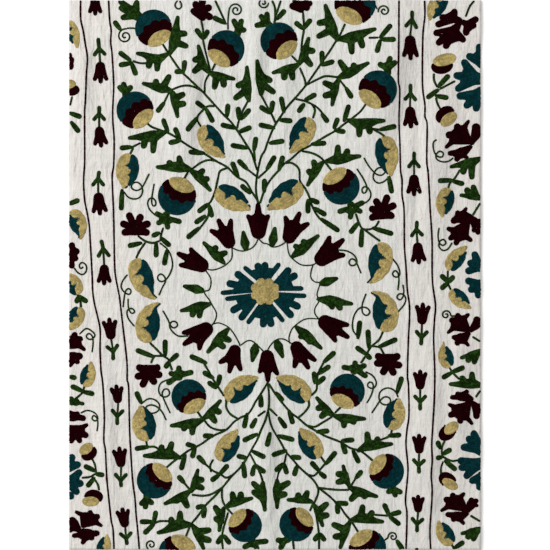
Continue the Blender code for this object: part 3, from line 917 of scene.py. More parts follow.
def level_lines(field, level):
    """The lines on a grid where a field has one value, as (points, closed) in grid steps."""
    above = field > level
    across = above[:, 1:] != above[:, :-1]
    down = above[1:, :] != above[:-1, :]
    crossed = across[:-1] | across[1:] | down[:, :-1] | down[:, 1:]
    links = defaultdict(list)
    for row, column in np.argwhere(crossed).tolist():
        sides = (
            (0, row, column, across[row, column]), (1, row, column, down[row, column]),
            (0, row + 1, column, across[row + 1, column]), (1, row, column + 1, down[row, column + 1]),
        )
        keys = [side[:3] for side in sides if side[3]]
        for one, two in zip(keys[0::2], keys[1::2]):
            links[one].append(two)
            links[two].append(one)

    def place(key):
        way, row, column = key
        here = field[row, column]
        there = field[row, column + 1] if way == 0 else field[row + 1, column]
        share = (level - here) / (there - here)
        return (column + share, row) if way == 0 else (column, row + share)

    lines = []
    unused = set(links)
    ends = sorted(key for key in links if len(links[key]) == 1)
    for start in ends + sorted(links):
        if start not in unused:
            continue
        chain = [start]
        unused.discard(start)
        while True:
            onward = [key for key in links[chain[-1]] if key in unused]
            if not onward:
                break
            chain.append(onward[0])
            unused.discard(onward[0])
        closed = len(chain) > 2 and chain[0] in links[chain[-1]]
        lines.append((np.array([place(key) for key in chain]), closed))
    return lines


# The dye of each thread, as a number. A row stops where it meets another dye.
DYES = {"gold": 1, "maroon": 2, "strip": 2, "teal": 3, "leaf": 4, "club": 4, "stem": 4}


class Drawing:
    """All the rows of chain stitch, by thread, worked out once for the whole cloth."""

    def __init__(self, settings):
        self.pitch = settings.row_pitch / METRES_A_PIXEL
        self.stitch = settings.stitch_length / METRES_A_PIXEL
        self.rows = defaultdict(list)
        side = PHOTO_SIDE * TAKEN_CELLS_A_PIXEL
        self.taken = np.zeros((side, side), dtype=np.int8)
        self.low = (CLOTH_LEFT_PIXEL + EDGE_ALLOWANCE, EDGE_ALLOWANCE)
        self.high = (CLOTH_RIGHT_PIXEL - EDGE_ALLOWANCE, PHOTO_SIDE - EDGE_ALLOWANCE)

    def cells(self, points):
        """The cells of the taken grid under some places."""
        index = (np.asarray(points) * TAKEN_CELLS_A_PIXEL).astype(int)
        index = np.clip(index, 0, self.taken.shape[0] - 1)
        return index[..., 1], index[..., 0]

    def row_turns(self, points, closed):
        """How far along a row each of its places is, and how much the row turns there."""
        along = np.concatenate(([0.0], np.cumsum(np.hypot(*np.diff(points, axis=0).T))))
        total = along[-1]
        half = TURN_REACH * self.stitch
        look = np.stack([along - half, along, along + half])
        if closed:
            look %= total
        held = np.clip(look, 0.0, total)
        x, y = np.interp(held, along, points[:, 0]), np.interp(held, along, points[:, 1])
        before, after = np.arctan2(y[1] - y[0], x[1] - x[0]), np.arctan2(y[2] - y[1], x[2] - x[1])
        turn = np.abs((after - before + math.pi) % (2.0 * math.pi) - math.pi)
        if not closed:
            turn[(look[0] < 0.0) | (look[2] > total)] = 0.0
        return along, turn

    def needle_places(self, points, closed):
        """Where the needle goes down: in a row's corners, and closer together on its turns."""
        if closed:
            _, turn = self.row_turns(np.vstack((points, points[:1])), True)
            points = np.roll(points, -int(np.argmax(turn[:-1])), axis=0)
            points = np.vstack((points, points[:1]))
        along, turn = self.row_turns(points, closed)
        # On an even turn, a straight stitch of this length strays that far and no further.
        length = np.sqrt(8.0 * STITCH_STRAY * TURN_REACH * self.stitch / (turn + TINY))
        length = np.clip(length, SHORTEST_STITCH * self.stitch, self.stitch)
        steps = np.diff(along) / (0.5 * (length[1:] + length[:-1]))
        count = np.concatenate(([0.0], np.cumsum(steps)))
        corners = [0, len(points) - 1]
        for place in np.argsort(-turn, kind="stable").tolist():
            if turn[place] < CORNER_TURN:
                break
            if np.abs(along[corners] - along[place]).min() > SHORTEST_STITCH * self.stitch:
                corners.append(place)
        corners = count[sorted(corners)]
        wanted = [0.0]
        for start, end in zip(corners, corners[1:]):
            stitches = max(int(round(end - start)), 1)
            wanted.extend(np.linspace(start, end, stitches + 1)[1:])
        if closed and len(wanted) < 4:
            wanted = np.linspace(0.0, count[-1], 4)
        reached = np.interp(wanted, count, along)
        x, y = np.interp(reached, along, points[:, 0]), np.interp(reached, along, points[:, 1])
        places = np.stack((x, y), axis=-1)
        return places[:-1] if closed else places

    def add_row(self, thread, points, closed, width, under=0):
        """Keeps a row, cut where it leaves the cloth or meets a motif of another dye."""
        points = np.asarray(points)
        inside = (points >= self.low).all(axis=1) & (points <= self.high).all(axis=1)
        there = self.taken[self.cells(points)]
        free = inside & ((there == 0) | (there == under))
        if free.all():
            self.rows[thread].append((self.needle_places(points, closed), closed, width))
            return
        if closed:
            first = int(np.argmin(free))
            points, free = np.roll(points, -first, axis=0), np.roll(free, -first)
        edges = np.flatnonzero(np.diff(np.concatenate(([0], free.astype(int), [0]))))
        for start, end in zip(edges[0::2], edges[1::2]):
            run = points[start:end]
            if line_length(run) >= SHORTEST_CUT_ROW * self.stitch:
                self.rows[thread].append((self.needle_places(run, False), False, width))

    def fill(self, thread, depth, bounds):
        """Fills a shape with rows that follow its outline, from the outside in."""
        low_x, low_y = max(bounds[0], self.low[0]), max(bounds[1], self.low[1])
        high_x, high_y = min(bounds[2], self.high[0]), min(bounds[3], self.high[1])
        if high_x - low_x < self.pitch or high_y - low_y < self.pitch:
            return
        xs = np.arange(low_x, high_x, DRAWING_STEP)
        ys = np.arange(low_y, high_y, DRAWING_STEP)
        x, y = np.meshgrid(xs, ys)
        field = depth(x, y)
        covered = np.zeros(field.shape, dtype=bool)
        level = 0.5 * self.pitch
        while level < field.max():
            for line, closed in level_lines(field, level):
                points = line * DRAWING_STEP + (low_x, low_y)
                if line_length(points) < SHORTEST_ROW * self.stitch:
                    continue
                self.add_row(thread, points, closed, FILL_ROW)
                self.cover(covered, line)
            level += self.pitch
        self.fill_gaps(thread, field, covered, (low_x, low_y))
        marked = np.argwhere(field > TAKEN_DEPTH)[:, ::-1] * DRAWING_STEP + (low_x, low_y)
        self.taken[self.cells(marked)] = DYES[thread]

    def cover(self, covered, line):
        """Marks the cells that a row of stitches hides."""
        reach = FILL_REACH * self.pitch / DRAWING_STEP
        span = int(reach) + 1
        index = np.rint(line).astype(int)
        for row in range(-span, span + 1):
            for column in range(-span, span + 1):
                if math.hypot(row, column) <= reach:
                    rows = np.clip(index[:, 1] + row, 0, covered.shape[0] - 1)
                    columns = np.clip(index[:, 0] + column, 0, covered.shape[1] - 1)
                    covered[rows, columns] = True

    def fill_gaps(self, thread, field, covered, corner):
        """Lays single stitches where the rows leave a bare place, the deepest first."""
        reach = self.stitch / DRAWING_STEP
        share = np.linspace(-0.5, 0.5, GAP_STEPS)[:, None] * reach
        while True:
            bare = (field > BARE_DEPTH * self.pitch) & ~covered
            places = np.argwhere(bare)
            if len(places) < 2:
                return
            spot = places[np.argmax(field[bare])]
            near = places[np.hypot(*(places - spot).T) <= GAP_REACH * reach]
            middle = near.mean(axis=0)
            spread = near - middle
            _, ways = np.linalg.eigh(spread.T @ spread + np.eye(2) * TINY)
            line = (middle + share * ways[:, 1])[:, ::-1]
            if len(near) > 1:
                self.add_row(thread, line * DRAWING_STEP + corner, False, FILL_ROW)
            self.cover(covered, line[1:-1])
            covered[spot[0], spot[1]] = True

    def line(self, thread, row, width):
        """A single row along a smooth line."""
        self.add_row(thread, smooth_line(row, DRAWING_STEP), False, width, DYES[thread])

    def lobes(self, thread, lobes):
        """A motif of one thread that is made of lobes."""
        self.fill(thread, joined_depth(lobes), lobe_bounds(lobes))


def draw_pomegranate(drawing, row):
    """A round fruit: a gold eye by its stem, a scalloped maroon band and a teal crown side."""
    middle, radius, stem, reach = row[0:2], row[2], row[3:5], row[5]
    way_x, way_y, _ = unit(stem[0] - middle[0], stem[1] - middle[1])
    eye = (middle[0] + way_x * FRUIT_EYE_OUT * radius, middle[1] + way_y * FRUIT_EYE_OUT * radius)
    halves = [share * radius for share in FRUIT_EYE_HALVES]
    turn = math.degrees(math.atan2(-way_y, way_x)) + 90.0
    root = (middle[0] + way_x * radius, middle[1] + way_y * radius)

    def whole(x, y):
        return radius + MOTIF_GROWTH - np.hypot(x - middle[0], y - middle[1])

    def gold(x, y):
        return ellipse_depth(x, y, eye, *halves, turn)

    def band(x, y):
        angle = np.arctan2(y - root[1], x - root[0]) - math.atan2(-way_y, -way_x)
        tooth = SCALLOP_DEPTH * radius * np.abs(np.sin(SCALLOPS_A_RADIAN * angle + 0.5))
        return reach * radius + tooth - np.hypot(x - root[0], y - root[1])

    bounds = (middle[0] - radius - 1, middle[1] - radius - 1, middle[0] + radius + 1, middle[1] + radius + 1)
    drawing.fill("gold", lambda x, y: np.minimum(whole(x, y), gold(x, y)), bounds)
    drawing.fill(
        "maroon", lambda x, y: np.minimum(np.minimum(whole(x, y), band(x, y)), -gold(x, y)), bounds
    )
    drawing.fill(
        "teal", lambda x, y: np.minimum(np.minimum(whole(x, y), -band(x, y)), -gold(x, y)), bounds
    )


def draw_paisley(drawing, row):
    """A bowed drop with a gold half and a teal half whose edge has two teeth."""
    head, point, hand, bow, half_width = row[0:2], row[2:4], row[4], row[5], row[6]
    length = math.dist(head, point)
    way_x, way_y, _ = unit(point[0] - head[0], point[1] - head[1])
    spine = [
        between(head, point, along, hand * bow * share * length)
        for along, share in zip(PAISLEY_ALONG[1:-1], PAISLEY_BOW[1:-1])
    ]
    radii = [half_width * share * length for share in PAISLEY_WIDTH[1:-1]]
    lobes = spine_lobes(spine, radii)
    lobes.append(finger(spine[-1], point, radii[-1], 0.7))
    body = joined_depth(lobes)

    def gold_side(x, y):
        along = ((x - head[0]) * way_x + (y - head[1]) * way_y) / length
        aside = hand * ((x - head[0]) * way_y - (y - head[1]) * way_x) / length
        edge = 1.4 * (bow - 0.06) * np.interp(along, EDGE_ALONG, EDGE_BOW)
        edge += sum(rise * np.exp(-((along - at) / TOOTH_WIDTH) ** 2) for rise, at in EDGE_TEETH)
        edge -= 0.08 * np.clip(1.0 - along / 0.25, 0.0, 1.3)
        return (aside - edge) * length * 0.8

    bounds = lobe_bounds(lobes)
    drawing.fill("gold", lambda x, y: np.minimum(body(x, y), gold_side(x, y)), bounds)
    drawing.fill("teal", lambda x, y: np.minimum(body(x, y), -gold_side(x, y)), bounds)


def draw_bud(drawing, row):
    """A gold seed in a maroon cup."""
    seed_middle, half_length, half_breadth, degrees = row[0:2], row[2], row[3], row[4]
    cup_middle = row[5:7]
    cup_halves = [row[7] * share for share in CUP_HALVES]

    def seed(x, y):
        return ellipse_depth(x, y, seed_middle, half_length, half_breadth, degrees)

    def cup(x, y):
        whole = ellipse_depth(x, y, cup_middle, *cup_halves, degrees)
        return np.minimum(whole, -seed(x, y))

    reach = max(half_length, cup_halves[0]) + 2
    bounds = (
        min(seed_middle[0], cup_middle[0]) - reach, min(seed_middle[1], cup_middle[1]) - reach,
        max(seed_middle[0], cup_middle[0]) + reach, max(seed_middle[1], cup_middle[1]) + reach,
    )
    drawing.fill("gold", seed, bounds)
    drawing.fill("maroon", cup, bounds)


def draw_strip_tulip(drawing, row):
    """A small tulip on its stem, with two leaves at the fork."""
    root, tip, fork, end = pairs(row)
    drawing.lobes("maroon", strip_tulip_lobes(root, tip))
    arms = [between(fork, root, ARM_ALONG, side * ARM_ASIDE) for side in (-1, 1)]
    drawing.lobes("club", [finger(fork, arm, 1.0, 1.35) for arm in arms] + [finger(fork, end, 1.1, 1.4)])
    drawing.line("stem", (*fork, *root), STEM_ROW)


def draw_eye(drawing):
    """The rosette's gold middle, with small lobes round it."""
    lobes = [(*EYE_MIDDLE, *EYE_MIDDLE, EYE_REACH, EYE_REACH)]
    for index in range(EYE_LOBES):
        angle = 2.0 * math.pi * (index + 0.5) / EYE_LOBES
        x = EYE_MIDDLE[0] + EYE_REACH * math.cos(angle)
        y = EYE_MIDDLE[1] + EYE_REACH * EYE_SQUASH * math.sin(angle)
        lobes.append((x, y, x, y, EYE_LOBE, EYE_LOBE))
    drawing.lobes("gold", lobes)


# Motifs in the order in which they are worked, since a row stops where another dye is. First
# those that are drawn by a function each, then those made of lobes: the thread, the rows of
# the table, the function that gives the lobes and what else it needs.
DRAWN_MOTIFS = ((POMEGRANATES, draw_pomegranate), (PAISLEYS, draw_paisley), (BUDS, draw_bud))
FLOWER_MOTIFS = (
    ("maroon", RING_TULIPS, ring_tulip_lobes, ()), ("maroon", MAROON_FLOWERS, flower_lobes, (3.0,)),
    ("maroon", MAROON_FANS, fan_lobes, (2.2, 2.7, 0.62)), ("maroon", PALMETTES, palmette_lobes, ()),
    ("teal", ROSETTE_PETALS, rosette_lobes, ()), ("teal", TEAL_FANS, fan_lobes, (4.0, 2.9, 0.58)),
)
LEAF_MOTIFS = (
    ("leaf", GREEN_FANS, fan_lobes, (3.2, 2.1, 0.45)), ("leaf", LOBED_LEAVES, lobed_leaf_lobes, ()),
    ("leaf", RING_LEAVES, plain_leaf_lobes, ()), ("club", CLUB_LEAVES, club_lobes, ()),
)
SINGLE_ROWS = ((STEM_LINES, STEM_ROW), (VINE_LINES, VINE_ROW), (TENDRIL_LINES, TENDRIL_ROW))


def draw_motifs(drawing, motifs):
    """Every motif of several tables that are made of lobes."""
    for thread, rows, lobes_of, more in motifs:
        for row in rows:
            drawing.lobes(thread, lobes_of(row, *more))


def whole_drawing(settings):
    """Every motif in the order in which one may cover part of the next."""
    drawing = Drawing(settings)
    draw_eye(drawing)
    for rows, draw in DRAWN_MOTIFS:
        for row in rows:
            draw(drawing, row)
    draw_motifs(drawing, FLOWER_MOTIFS)
    for row in STRIP_TULIPS:
        draw_strip_tulip(drawing, row)
    draw_motifs(drawing, LEAF_MOTIFS)
    for rows, width in SINGLE_ROWS:
        for row in rows:
            drawing.line("stem", row, width)
    for row in SPIRALS:
        coil = spiral_line(row[0:2], row[2], row[3], row[4], DRAWING_STEP)
        drawing.add_row("stem", coil, False, TENDRIL_ROW, DYES["stem"])
    for row in STRIP_LINES:
        drawing.line("strip", row, STRIP_ROW)
    return drawing


KEPT_DRAWINGS = {}


def the_drawing(settings):
    """The drawing, worked out the first time that a piece asks for it at these sizes."""
    key = (round(settings.row_pitch, 6), round(settings.stitch_length, 6))
    if key not in KEPT_DRAWINGS:
        KEPT_DRAWINGS[key] = whole_drawing(settings)
    return KEPT_DRAWINGS[key]


def add_node(tree, kind, settings=None, values=None, links=None):
    """A node with its settings, its inputs' values and what is linked into it."""
    node = tree.nodes.new(kind)
    for name, value in (settings or {}).items():
        setattr(node, name, value)
    for key, value in (values or {}).items():
        node.inputs[key].default_value = value
    for key, source in (links or {}).items():
        tree.links.new(source, node.inputs[key])
    return node


def maths(tree, operation, *terms):
    """The result of a sum whose terms are numbers or sockets."""
    node = add_node(tree, "ShaderNodeMath", {"operation": operation})
    for socket, term in zip(node.inputs, terms):
        if isinstance(term, float):
            socket.default_value = term
        else:
            tree.links.new(term, socket)
    return node.outputs[0]


def noise(tree, place, scale, detail, **more):
    """Noise with so many cells a metre, as one value."""
    values = {"Scale": scale, "Detail": detail, **more}
    return add_node(tree, "ShaderNodeTexNoise", values=values, links={"Vector": place}).outputs["Fac"]


def stretched(tree, place, across, up):
    """Places whose pattern is stretched by a share of less than 1, across or up the cloth."""
    return add_node(tree, "ShaderNodeMapping", values={"Scale": (across, up, 1.0)},
                    links={"Vector": place}).outputs[0]


def raised(tree, height, strength, distance, **under):
    """The face with relief on it, and on what lies under that."""
    return add_node(tree, "ShaderNodeBump", values={"Strength": strength, "Distance": distance},
                    links={"Height": height, **under}).outputs[0]


def mapped(tree, value, **limits):
    """A value moved from one span to another."""
    values = {name.replace("_", " "): limit for name, limit in limits.items()}
    return add_node(tree, "ShaderNodeMapRange", values=values, links={"Value": value}).outputs[0]


def object_places(tree):
    """Places on the piece, in metres."""
    return add_node(tree, "ShaderNodeTexCoord").outputs["Object"]


def new_material(name):
    """A material with only its shader and its output."""
    material = bpy.data.materials.new(name)
    material.use_nodes = True
    return material, material.node_tree, material.node_tree.nodes["Principled BSDF"]


def scaled(colour, *shares):
    """A linear colour with each of its parts scaled, ready for a socket."""
    shares = shares * 3 if len(shares) == 1 else shares
    return (*(min(part * share, 1.0) for part, share in zip(colour, shares)), 1.0)


def plain_woven_cotton(colour):
    """Plain-woven cotton, washed and pressed by hand.

    The yarn is uneven, so long slubs run up and across the cloth. Washing has left small
    crinkles, and the white is a little pinker towards the sides. The surface is matt.
    """
    material, tree, shader = new_material("plain_woven_cotton")
    place = object_places(tree)
    # A slub is about 3 mm wide and 40 mm long, which is coarse enough to show at this scale.
    up_slub = noise(tree, stretched(tree, place, 1.0, 0.075), 300.0, 3.0, Roughness=0.6)
    over_slub = noise(tree, stretched(tree, place, 0.10, 1.0), 260.0, 3.0, Roughness=0.6)
    slubs = maths(tree, "MULTIPLY_ADD", over_slub, 0.6, up_slub)
    # A pinker tint in clouds about 45 mm wide, with more of it towards the sides of the cloth.
    cloud = noise(tree, place, 22.0, 4.0)
    split = add_node(tree, "ShaderNodeSeparateXYZ", links={0: place})
    aside = maths(tree, "ABSOLUTE", split.outputs["X"])
    wide = mapped(tree, aside, From_Min=0.08, From_Max=0.375, To_Max=0.6)
    tint = add_node(tree, "ShaderNodeValToRGB", links={"Fac": maths(tree, "MULTIPLY_ADD", cloud, 0.8, wide)})
    whiter_tint, pinker_tint = tint.color_ramp.elements
    whiter_tint.position = 0.35
    whiter_tint.color = scaled(colour, 1.0)
    pinker_tint.position = 1.0
    pinker_tint.color = scaled(colour, 1.055, 1.0, 0.993)
    shade = mapped(tree, slubs, From_Min=0.55, From_Max=1.05, To_Min=0.90, To_Max=1.07)
    mixed = add_node(tree, "ShaderNodeMix", {"data_type": "RGBA", "blend_type": "MULTIPLY"}, {"Factor": 1.0},
                     {6: tint.outputs["Color"], 7: shade})
    tree.links.new(mixed.outputs[2], shader.inputs["Base Color"])
    # The weave: a ridge and a groove each millimetre, both ways.
    warp, weft = [
        add_node(tree, "ShaderNodeTexWave", {"bands_direction": way},
                 {"Scale": 318.0, "Distortion": 1.5, "Detail": 2.0}, {"Vector": place}).outputs["Fac"]
        for way in ("X", "Y")
    ]
    threads = raised(tree, maths(tree, "ADD", warp, weft), 0.35, 0.00015)
    relief = raised(tree, slubs, 0.8, 0.0009, Normal=threads)
    # The crinkles are about 10 mm wide with finer ones in them, and longer up the cloth.
    crinkles = noise(tree, stretched(tree, place, 1.0, 0.35), 95.0, 4.0, Distortion=0.6)
    tree.links.new(raised(tree, crinkles, 1.0, 0.004, Normal=relief), shader.inputs["Normal"])
    shader.inputs["Roughness"].default_value = 0.92
    shader.inputs["Specular IOR Level"].default_value = 0.2
    shader.inputs["Sheen Weight"].default_value = 0.08
    return material


def spun_embroidery_yarn(name, colour, deep_and_shaded, worn_and_highlit, shine):
    """Two-ply mercerised embroidery yarn, dyed in small lots.

    Each stitch is a little lighter or darker at random. This is partly uneven dye and partly painted
    highlight and painted shade on the stitches. The tone drifts along a row as the dye does, and the twist
    leaves a soft broken shine.
    """
    material, tree, shader = new_material(name)
    place = object_places(tree)
    tone = add_node(tree, "ShaderNodeAttribute", {"attribute_name": "stitch_tone"})
    # The dye drifts over about 14 mm.
    drift = noise(tree, place, 70.0, 3.0)
    mixed = maths(tree, "MULTIPLY_ADD", drift, 0.7, maths(tree, "MULTIPLY", tone.outputs["Fac"], 0.5))
    ramp = add_node(tree, "ShaderNodeValToRGB", links={"Fac": mixed})
    elements = ramp.color_ramp.elements
    # The darkest and lightest tones are set on stitches at random: partly uneven dye, partly painted shade
    # and painted highlight.
    elements[0].position = 0.15
    elements[0].color = scaled(colour, deep_and_shaded)
    elements[1].position = 1.00
    elements[1].color = scaled(colour, worn_and_highlit)
    middle = elements.new(0.60)
    middle.color = scaled(colour, 1.0)
    tree.links.new(ramp.outputs["Color"], shader.inputs["Base Color"])
    # The ply twist is about 0.5 mm, drawn as fine noise.
    twist = noise(tree, place, 1800.0, 2.0)
    tree.links.new(raised(tree, twist, 0.6, 0.0002), shader.inputs["Normal"])
    shader.inputs["Roughness"].default_value = 0.7
    # Dyed yarn shines in its own colour, because the light comes back out of the fibres.
    shader.inputs["Specular IOR Level"].default_value = shine
    shader.inputs["Specular Tint"].default_value = scaled(colour, 0.6 / (max(colour) + TINY))
    return material


def studio_paper():
    """Matt white studio paper: even, with no grain that shows."""
    material, tree, shader = new_material("studio_paper")
    shade = mapped(tree, noise(tree, object_places(tree), 40.0, 2.0), To_Min=0.97, To_Max=0.99)
    tree.links.new(shade, shader.inputs["Base Color"])
    shader.inputs["Roughness"].default_value = 1.0
    shader.inputs["Specular IOR Level"].default_value = 0.0
    return material


def linked_object(name, data):
    """A new object in the scene."""
    item = bpy.data.objects.new(name, data)
    bpy.context.scene.collection.objects.link(item)
    return item


def stitch_link():
    """One chain stitch on a unit length: a narrow nose, two strands and a round tail."""
    vertices = [(STITCH_NOSE[0], 0.0, STITCH_NOSE[1])]
    for place, half_width, strand, groove in STITCH_SECTIONS:
        inner = STRAND_PLACE * half_width
        vertices += [
            (place - STITCH_SLANT, -half_width, 0.0), (place, -inner, strand),
            (place + STITCH_SLANT, 0.0, groove), (place, inner, strand),
            (place - STITCH_SLANT, half_width, 0.0),
        ]
    vertices.append((STITCH_TAIL[0], 0.0, STITCH_TAIL[1]))
    across = 5
    last = len(vertices) - 1
    faces = [(0, 1 + i, 2 + i) for i in range(across - 1)] + [(0, across, 1)]
    for section in range(len(STITCH_SECTIONS) - 1):
        near, far = 1 + section * across, 1 + (section + 1) * across
        for i in range(across):
            j = (i + 1) % across
            faces.append((near + i, far + i, far + j, near + j))
    final = last - across
    faces += [(last, final + i + 1, final + i) for i in range(across - 1)]
    faces.append((last, final, final + across - 1))
    mesh = bpy.data.meshes.new("stitch_link")
    mesh.from_pydata(vertices, [], faces)
    mesh.validate()
    mesh.shade_smooth()
    return linked_object("stitch_link", mesh)


STITCH_INPUTS = (
    ("Stitch overlap", "NodeSocketFloat"), ("Stitch width", "NodeSocketFloat"),
    ("Stitch height", "NodeSocketFloat"), ("Unevenness", "NodeSocketFloat"),
    ("Seed", "NodeSocketInt"), ("Link", "NodeSocketObject"), ("Yarn", "NodeSocketMaterial"),
)


def chain_stitch_tree():
    """The node tree that works chain stitch along the edges of a mesh of rows."""
    tree = bpy.data.node_groups.new("chain_stitch", "GeometryNodeTree")
    tree.interface.new_socket("Geometry", in_out="INPUT", socket_type="NodeSocketGeometry")
    for name, kind in STITCH_INPUTS:
        tree.interface.new_socket(name, in_out="INPUT", socket_type=kind)
    tree.interface.new_socket("Geometry", in_out="OUTPUT", socket_type="NodeSocketGeometry")
    given = add_node(tree, "NodeGroupInput").outputs
    ends = add_node(tree, "GeometryNodeInputMeshEdgeVertices").outputs
    way = add_node(tree, "ShaderNodeVectorMath", {"operation": "SUBTRACT"},
                   links={0: ends["Position 2"], 1: ends["Position 1"]})
    length = add_node(tree, "ShaderNodeVectorMath", {"operation": "LENGTH"}, links={0: way.outputs[0]})
    face_way = add_node(tree, "GeometryNodeInputNamedAttribute", {"data_type": "FLOAT_VECTOR"},
                        {"Name": "row_normal"})
    row_width = add_node(tree, "GeometryNodeInputNamedAttribute", {"data_type": "FLOAT"},
                         {"Name": "row_width"})
    held = add_node(tree, "GeometryNodeCaptureAttribute", {"domain": "EDGE"},
                    links={"Geometry": given["Geometry"]})
    for kind, name, source in (
        ("VECTOR", "Way", way.outputs[0]), ("FLOAT", "Length", length.outputs["Value"]),
        ("VECTOR", "Face", face_way.outputs["Attribute"]),
        ("FLOAT", "Width", row_width.outputs["Attribute"]),
    ):
        held.capture_items.new(kind, name)
        tree.links.new(source, held.inputs[name])
    middles = add_node(tree, "GeometryNodeMeshToPoints", {"mode": "EDGES"},
                       links={"Mesh": held.outputs["Geometry"]})
    turn = add_node(tree, "FunctionNodeAxesToRotation", {"primary_axis": "Z", "secondary_axis": "X"},
                    links={0: held.outputs["Face"], 1: held.outputs["Way"]})
    least = maths(tree, "SUBTRACT", 1.0, given["Unevenness"])
    most = maths(tree, "ADD", 1.0, given["Unevenness"])
    uneven = add_node(tree, "FunctionNodeRandomValue", {"data_type": "FLOAT"},
                      links={2: least, 3: most, "Seed": given["Seed"]}).outputs[1]
    wide = maths(tree, "MULTIPLY", given["Stitch width"], held.outputs["Width"])
    size = add_node(tree, "ShaderNodeCombineXYZ", links={
        "X": maths(tree, "MULTIPLY", given["Stitch overlap"], held.outputs["Length"]),
        "Y": maths(tree, "MULTIPLY", wide, uneven),
        "Z": maths(tree, "MULTIPLY", given["Stitch height"], uneven),
    })
    link = add_node(tree, "GeometryNodeObjectInfo", links={"Object": given["Link"]})
    stitches = add_node(tree, "GeometryNodeInstanceOnPoints",
                        links={"Points": middles.outputs[0], "Instance": link.outputs["Geometry"],
                               "Rotation": turn.outputs[0], "Scale": size.outputs[0]})
    tone = add_node(tree, "FunctionNodeRandomValue", {"data_type": "FLOAT"}, {2: 0.0, 3: 1.0},
                    {"Seed": given["Seed"]})
    toned = add_node(tree, "GeometryNodeStoreNamedAttribute", {"data_type": "FLOAT", "domain": "INSTANCE"},
                     {"Name": "stitch_tone"}, {"Geometry": stitches.outputs[0], "Value": tone.outputs[1]})
    real = add_node(tree, "GeometryNodeRealizeInstances", links={"Geometry": toned.outputs[0]})
    dyed = add_node(tree, "GeometryNodeSetMaterial",
                    links={"Geometry": real.outputs[0], "Material": given["Yarn"]})
    add_node(tree, "NodeGroupOutput", links={"Geometry": dyed.outputs[0]})
    return tree


def rows_object(settings, name, rows):
    """The rows of one piece as a mesh of edges that lies on the cloth."""
    points = np.vstack([row[0] for row in rows])
    widths = np.concatenate([np.full(len(row[0]), row[2]) for row in rows])
    edges = []
    first = 0
    for row, closed, _ in rows:
        last = first + len(row) - 1
        edges += [(i, i + 1) for i in range(first, last)]
        if closed:
            edges.append((last, first))
        first = last + 1
    x, y = to_cloth(points)
    z, normals = face_height(settings, x, y)
    mesh = bpy.data.meshes.new(name)
    mesh.from_pydata(np.stack((x, y, z - settings.stitch_sink), axis=-1), edges, [])
    mesh.attributes.new("row_normal", "FLOAT_VECTOR", "POINT").data.foreach_set("vector", normals.ravel())
    mesh.attributes.new("row_width", "FLOAT", "POINT").data.foreach_set("value", widths)
    return linked_object(name, mesh)


def work_rows(settings, name, rows, yarn):
    """Chain stitch along the rows, as one plain mesh."""
    guide = rows_object(settings, name + "_rows", rows)
    link = stitch_link()
    tree = bpy.data.node_groups.get("chain_stitch") or chain_stitch_tree()
    modifier = guide.modifiers.new("chain_stitch", "NODES")
    modifier.node_group = tree
    values = {
        "Stitch overlap": settings.stitch_overlap, "Stitch width": settings.stitch_width,
        "Stitch height": settings.stitch_height, "Unevenness": settings.unevenness,
        "Seed": settings.seed, "Link": link, "Yarn": yarn,
    }
    for socket in tree.interface.items_tree:
        if socket.in_out == "INPUT" and socket.name in values:
            modifier[socket.identifier] = values[socket.name]
    evaluated = guide.evaluated_get(bpy.context.evaluated_depsgraph_get())
    mesh = bpy.data.meshes.new_from_object(evaluated)
    mesh.name = name
    piece = linked_object(name, mesh)
    for helper in (guide, link):
        data = helper.data
        bpy.data.objects.remove(helper)
        bpy.data.meshes.remove(data)
    triangles = sum(len(face.vertices) - 2 for face in mesh.polygons)
    print(name, len(rows), "rows", len(mesh.polygons), "faces", triangles, "triangles")
    return piece


def small_length(name, description, default, least, most):
    """A property that is a length of some millimetres."""
    return FloatProperty(name=name, description=description, default=default, min=least, max=most,
                         unit="LENGTH", precision=4)


def main_colour(name, description, colour):
    """A property that is a linear colour."""
    return FloatVectorProperty(name=name, description=description, default=colour, subtype="COLOR",
                               size=3, min=0.0, max=1.0)


class SuzaniSizes(bpy.types.PropertyGroup):
    """Sizes of the cloth and its stitches."""

    cloth_thickness: small_length(
        "Cloth thickness", "Thickness of the woven cloth", 0.0011, 0.0005, 0.003)
    cells_across: IntProperty(name="Cells across", description="Faces across the cloth", default=160, min=20)
    cells_up: IntProperty(name="Cells up", description="Faces up the cloth", default=200, min=20)
    stitch_length: small_length("Stitch length", "Length of one chain stitch", 0.0044, 0.001, 0.02)
    stitch_overlap: FloatProperty(
        name="Stitch overlap", description="Length of a link as a share of the distance that it spans",
        default=1.0, min=0.5, max=2.0)
    stitch_width: small_length("Stitch width", "Width of one row of chain stitch", 0.0044, 0.001, 0.02)
    stitch_height: small_length(
        "Stitch height", "How far the yarn stands off the cloth", 0.0011, 0.0002, 0.005)
    stitch_sink: small_length(
        "Stitch sink", "How far the yarn is pulled into the cloth", 0.0002, 0.0, 0.001)
    row_pitch: small_length("Row pitch", "Distance between two rows of a filling", 0.0025, 0.001, 0.02)
    unevenness: FloatProperty(
        name="Unevenness", description="How much the stitches differ in size",
        default=0.09, min=0.0, max=0.5, subtype="FACTOR")
    wrinkle_waves: IntProperty(
        name="Wrinkle waves", description="How many waves the wrinkles add up", default=26, min=1)
    wrinkle_slope: FloatProperty(
        name="Wrinkle slope", description="How steep the small wrinkles are",
        default=0.0022, min=0.0, max=0.05)
    seed: IntProperty(name="Seed", description="Fixed start of everything uneven", default=11, min=0)


class SuzaniColours(bpy.types.PropertyGroup):
    """Main colours of the cloth and of its four yarns."""

    cotton: main_colour("Cotton", "Colour of the undyed cloth", from_hex("#CECEC9"))
    green: main_colour("Green yarn", "Main colour of the stems and leaves", from_hex("#112208"))
    teal: main_colour("Teal yarn", "Main colour of the rosette and the fruit", from_hex("#052427"))
    maroon: main_colour("Maroon yarn", "Main colour of the tulips and flowers", from_hex("#140103"))
    gold: main_colour("Gold yarn", "Main colour of the seeds and paisleys", from_hex("#9A8957"))


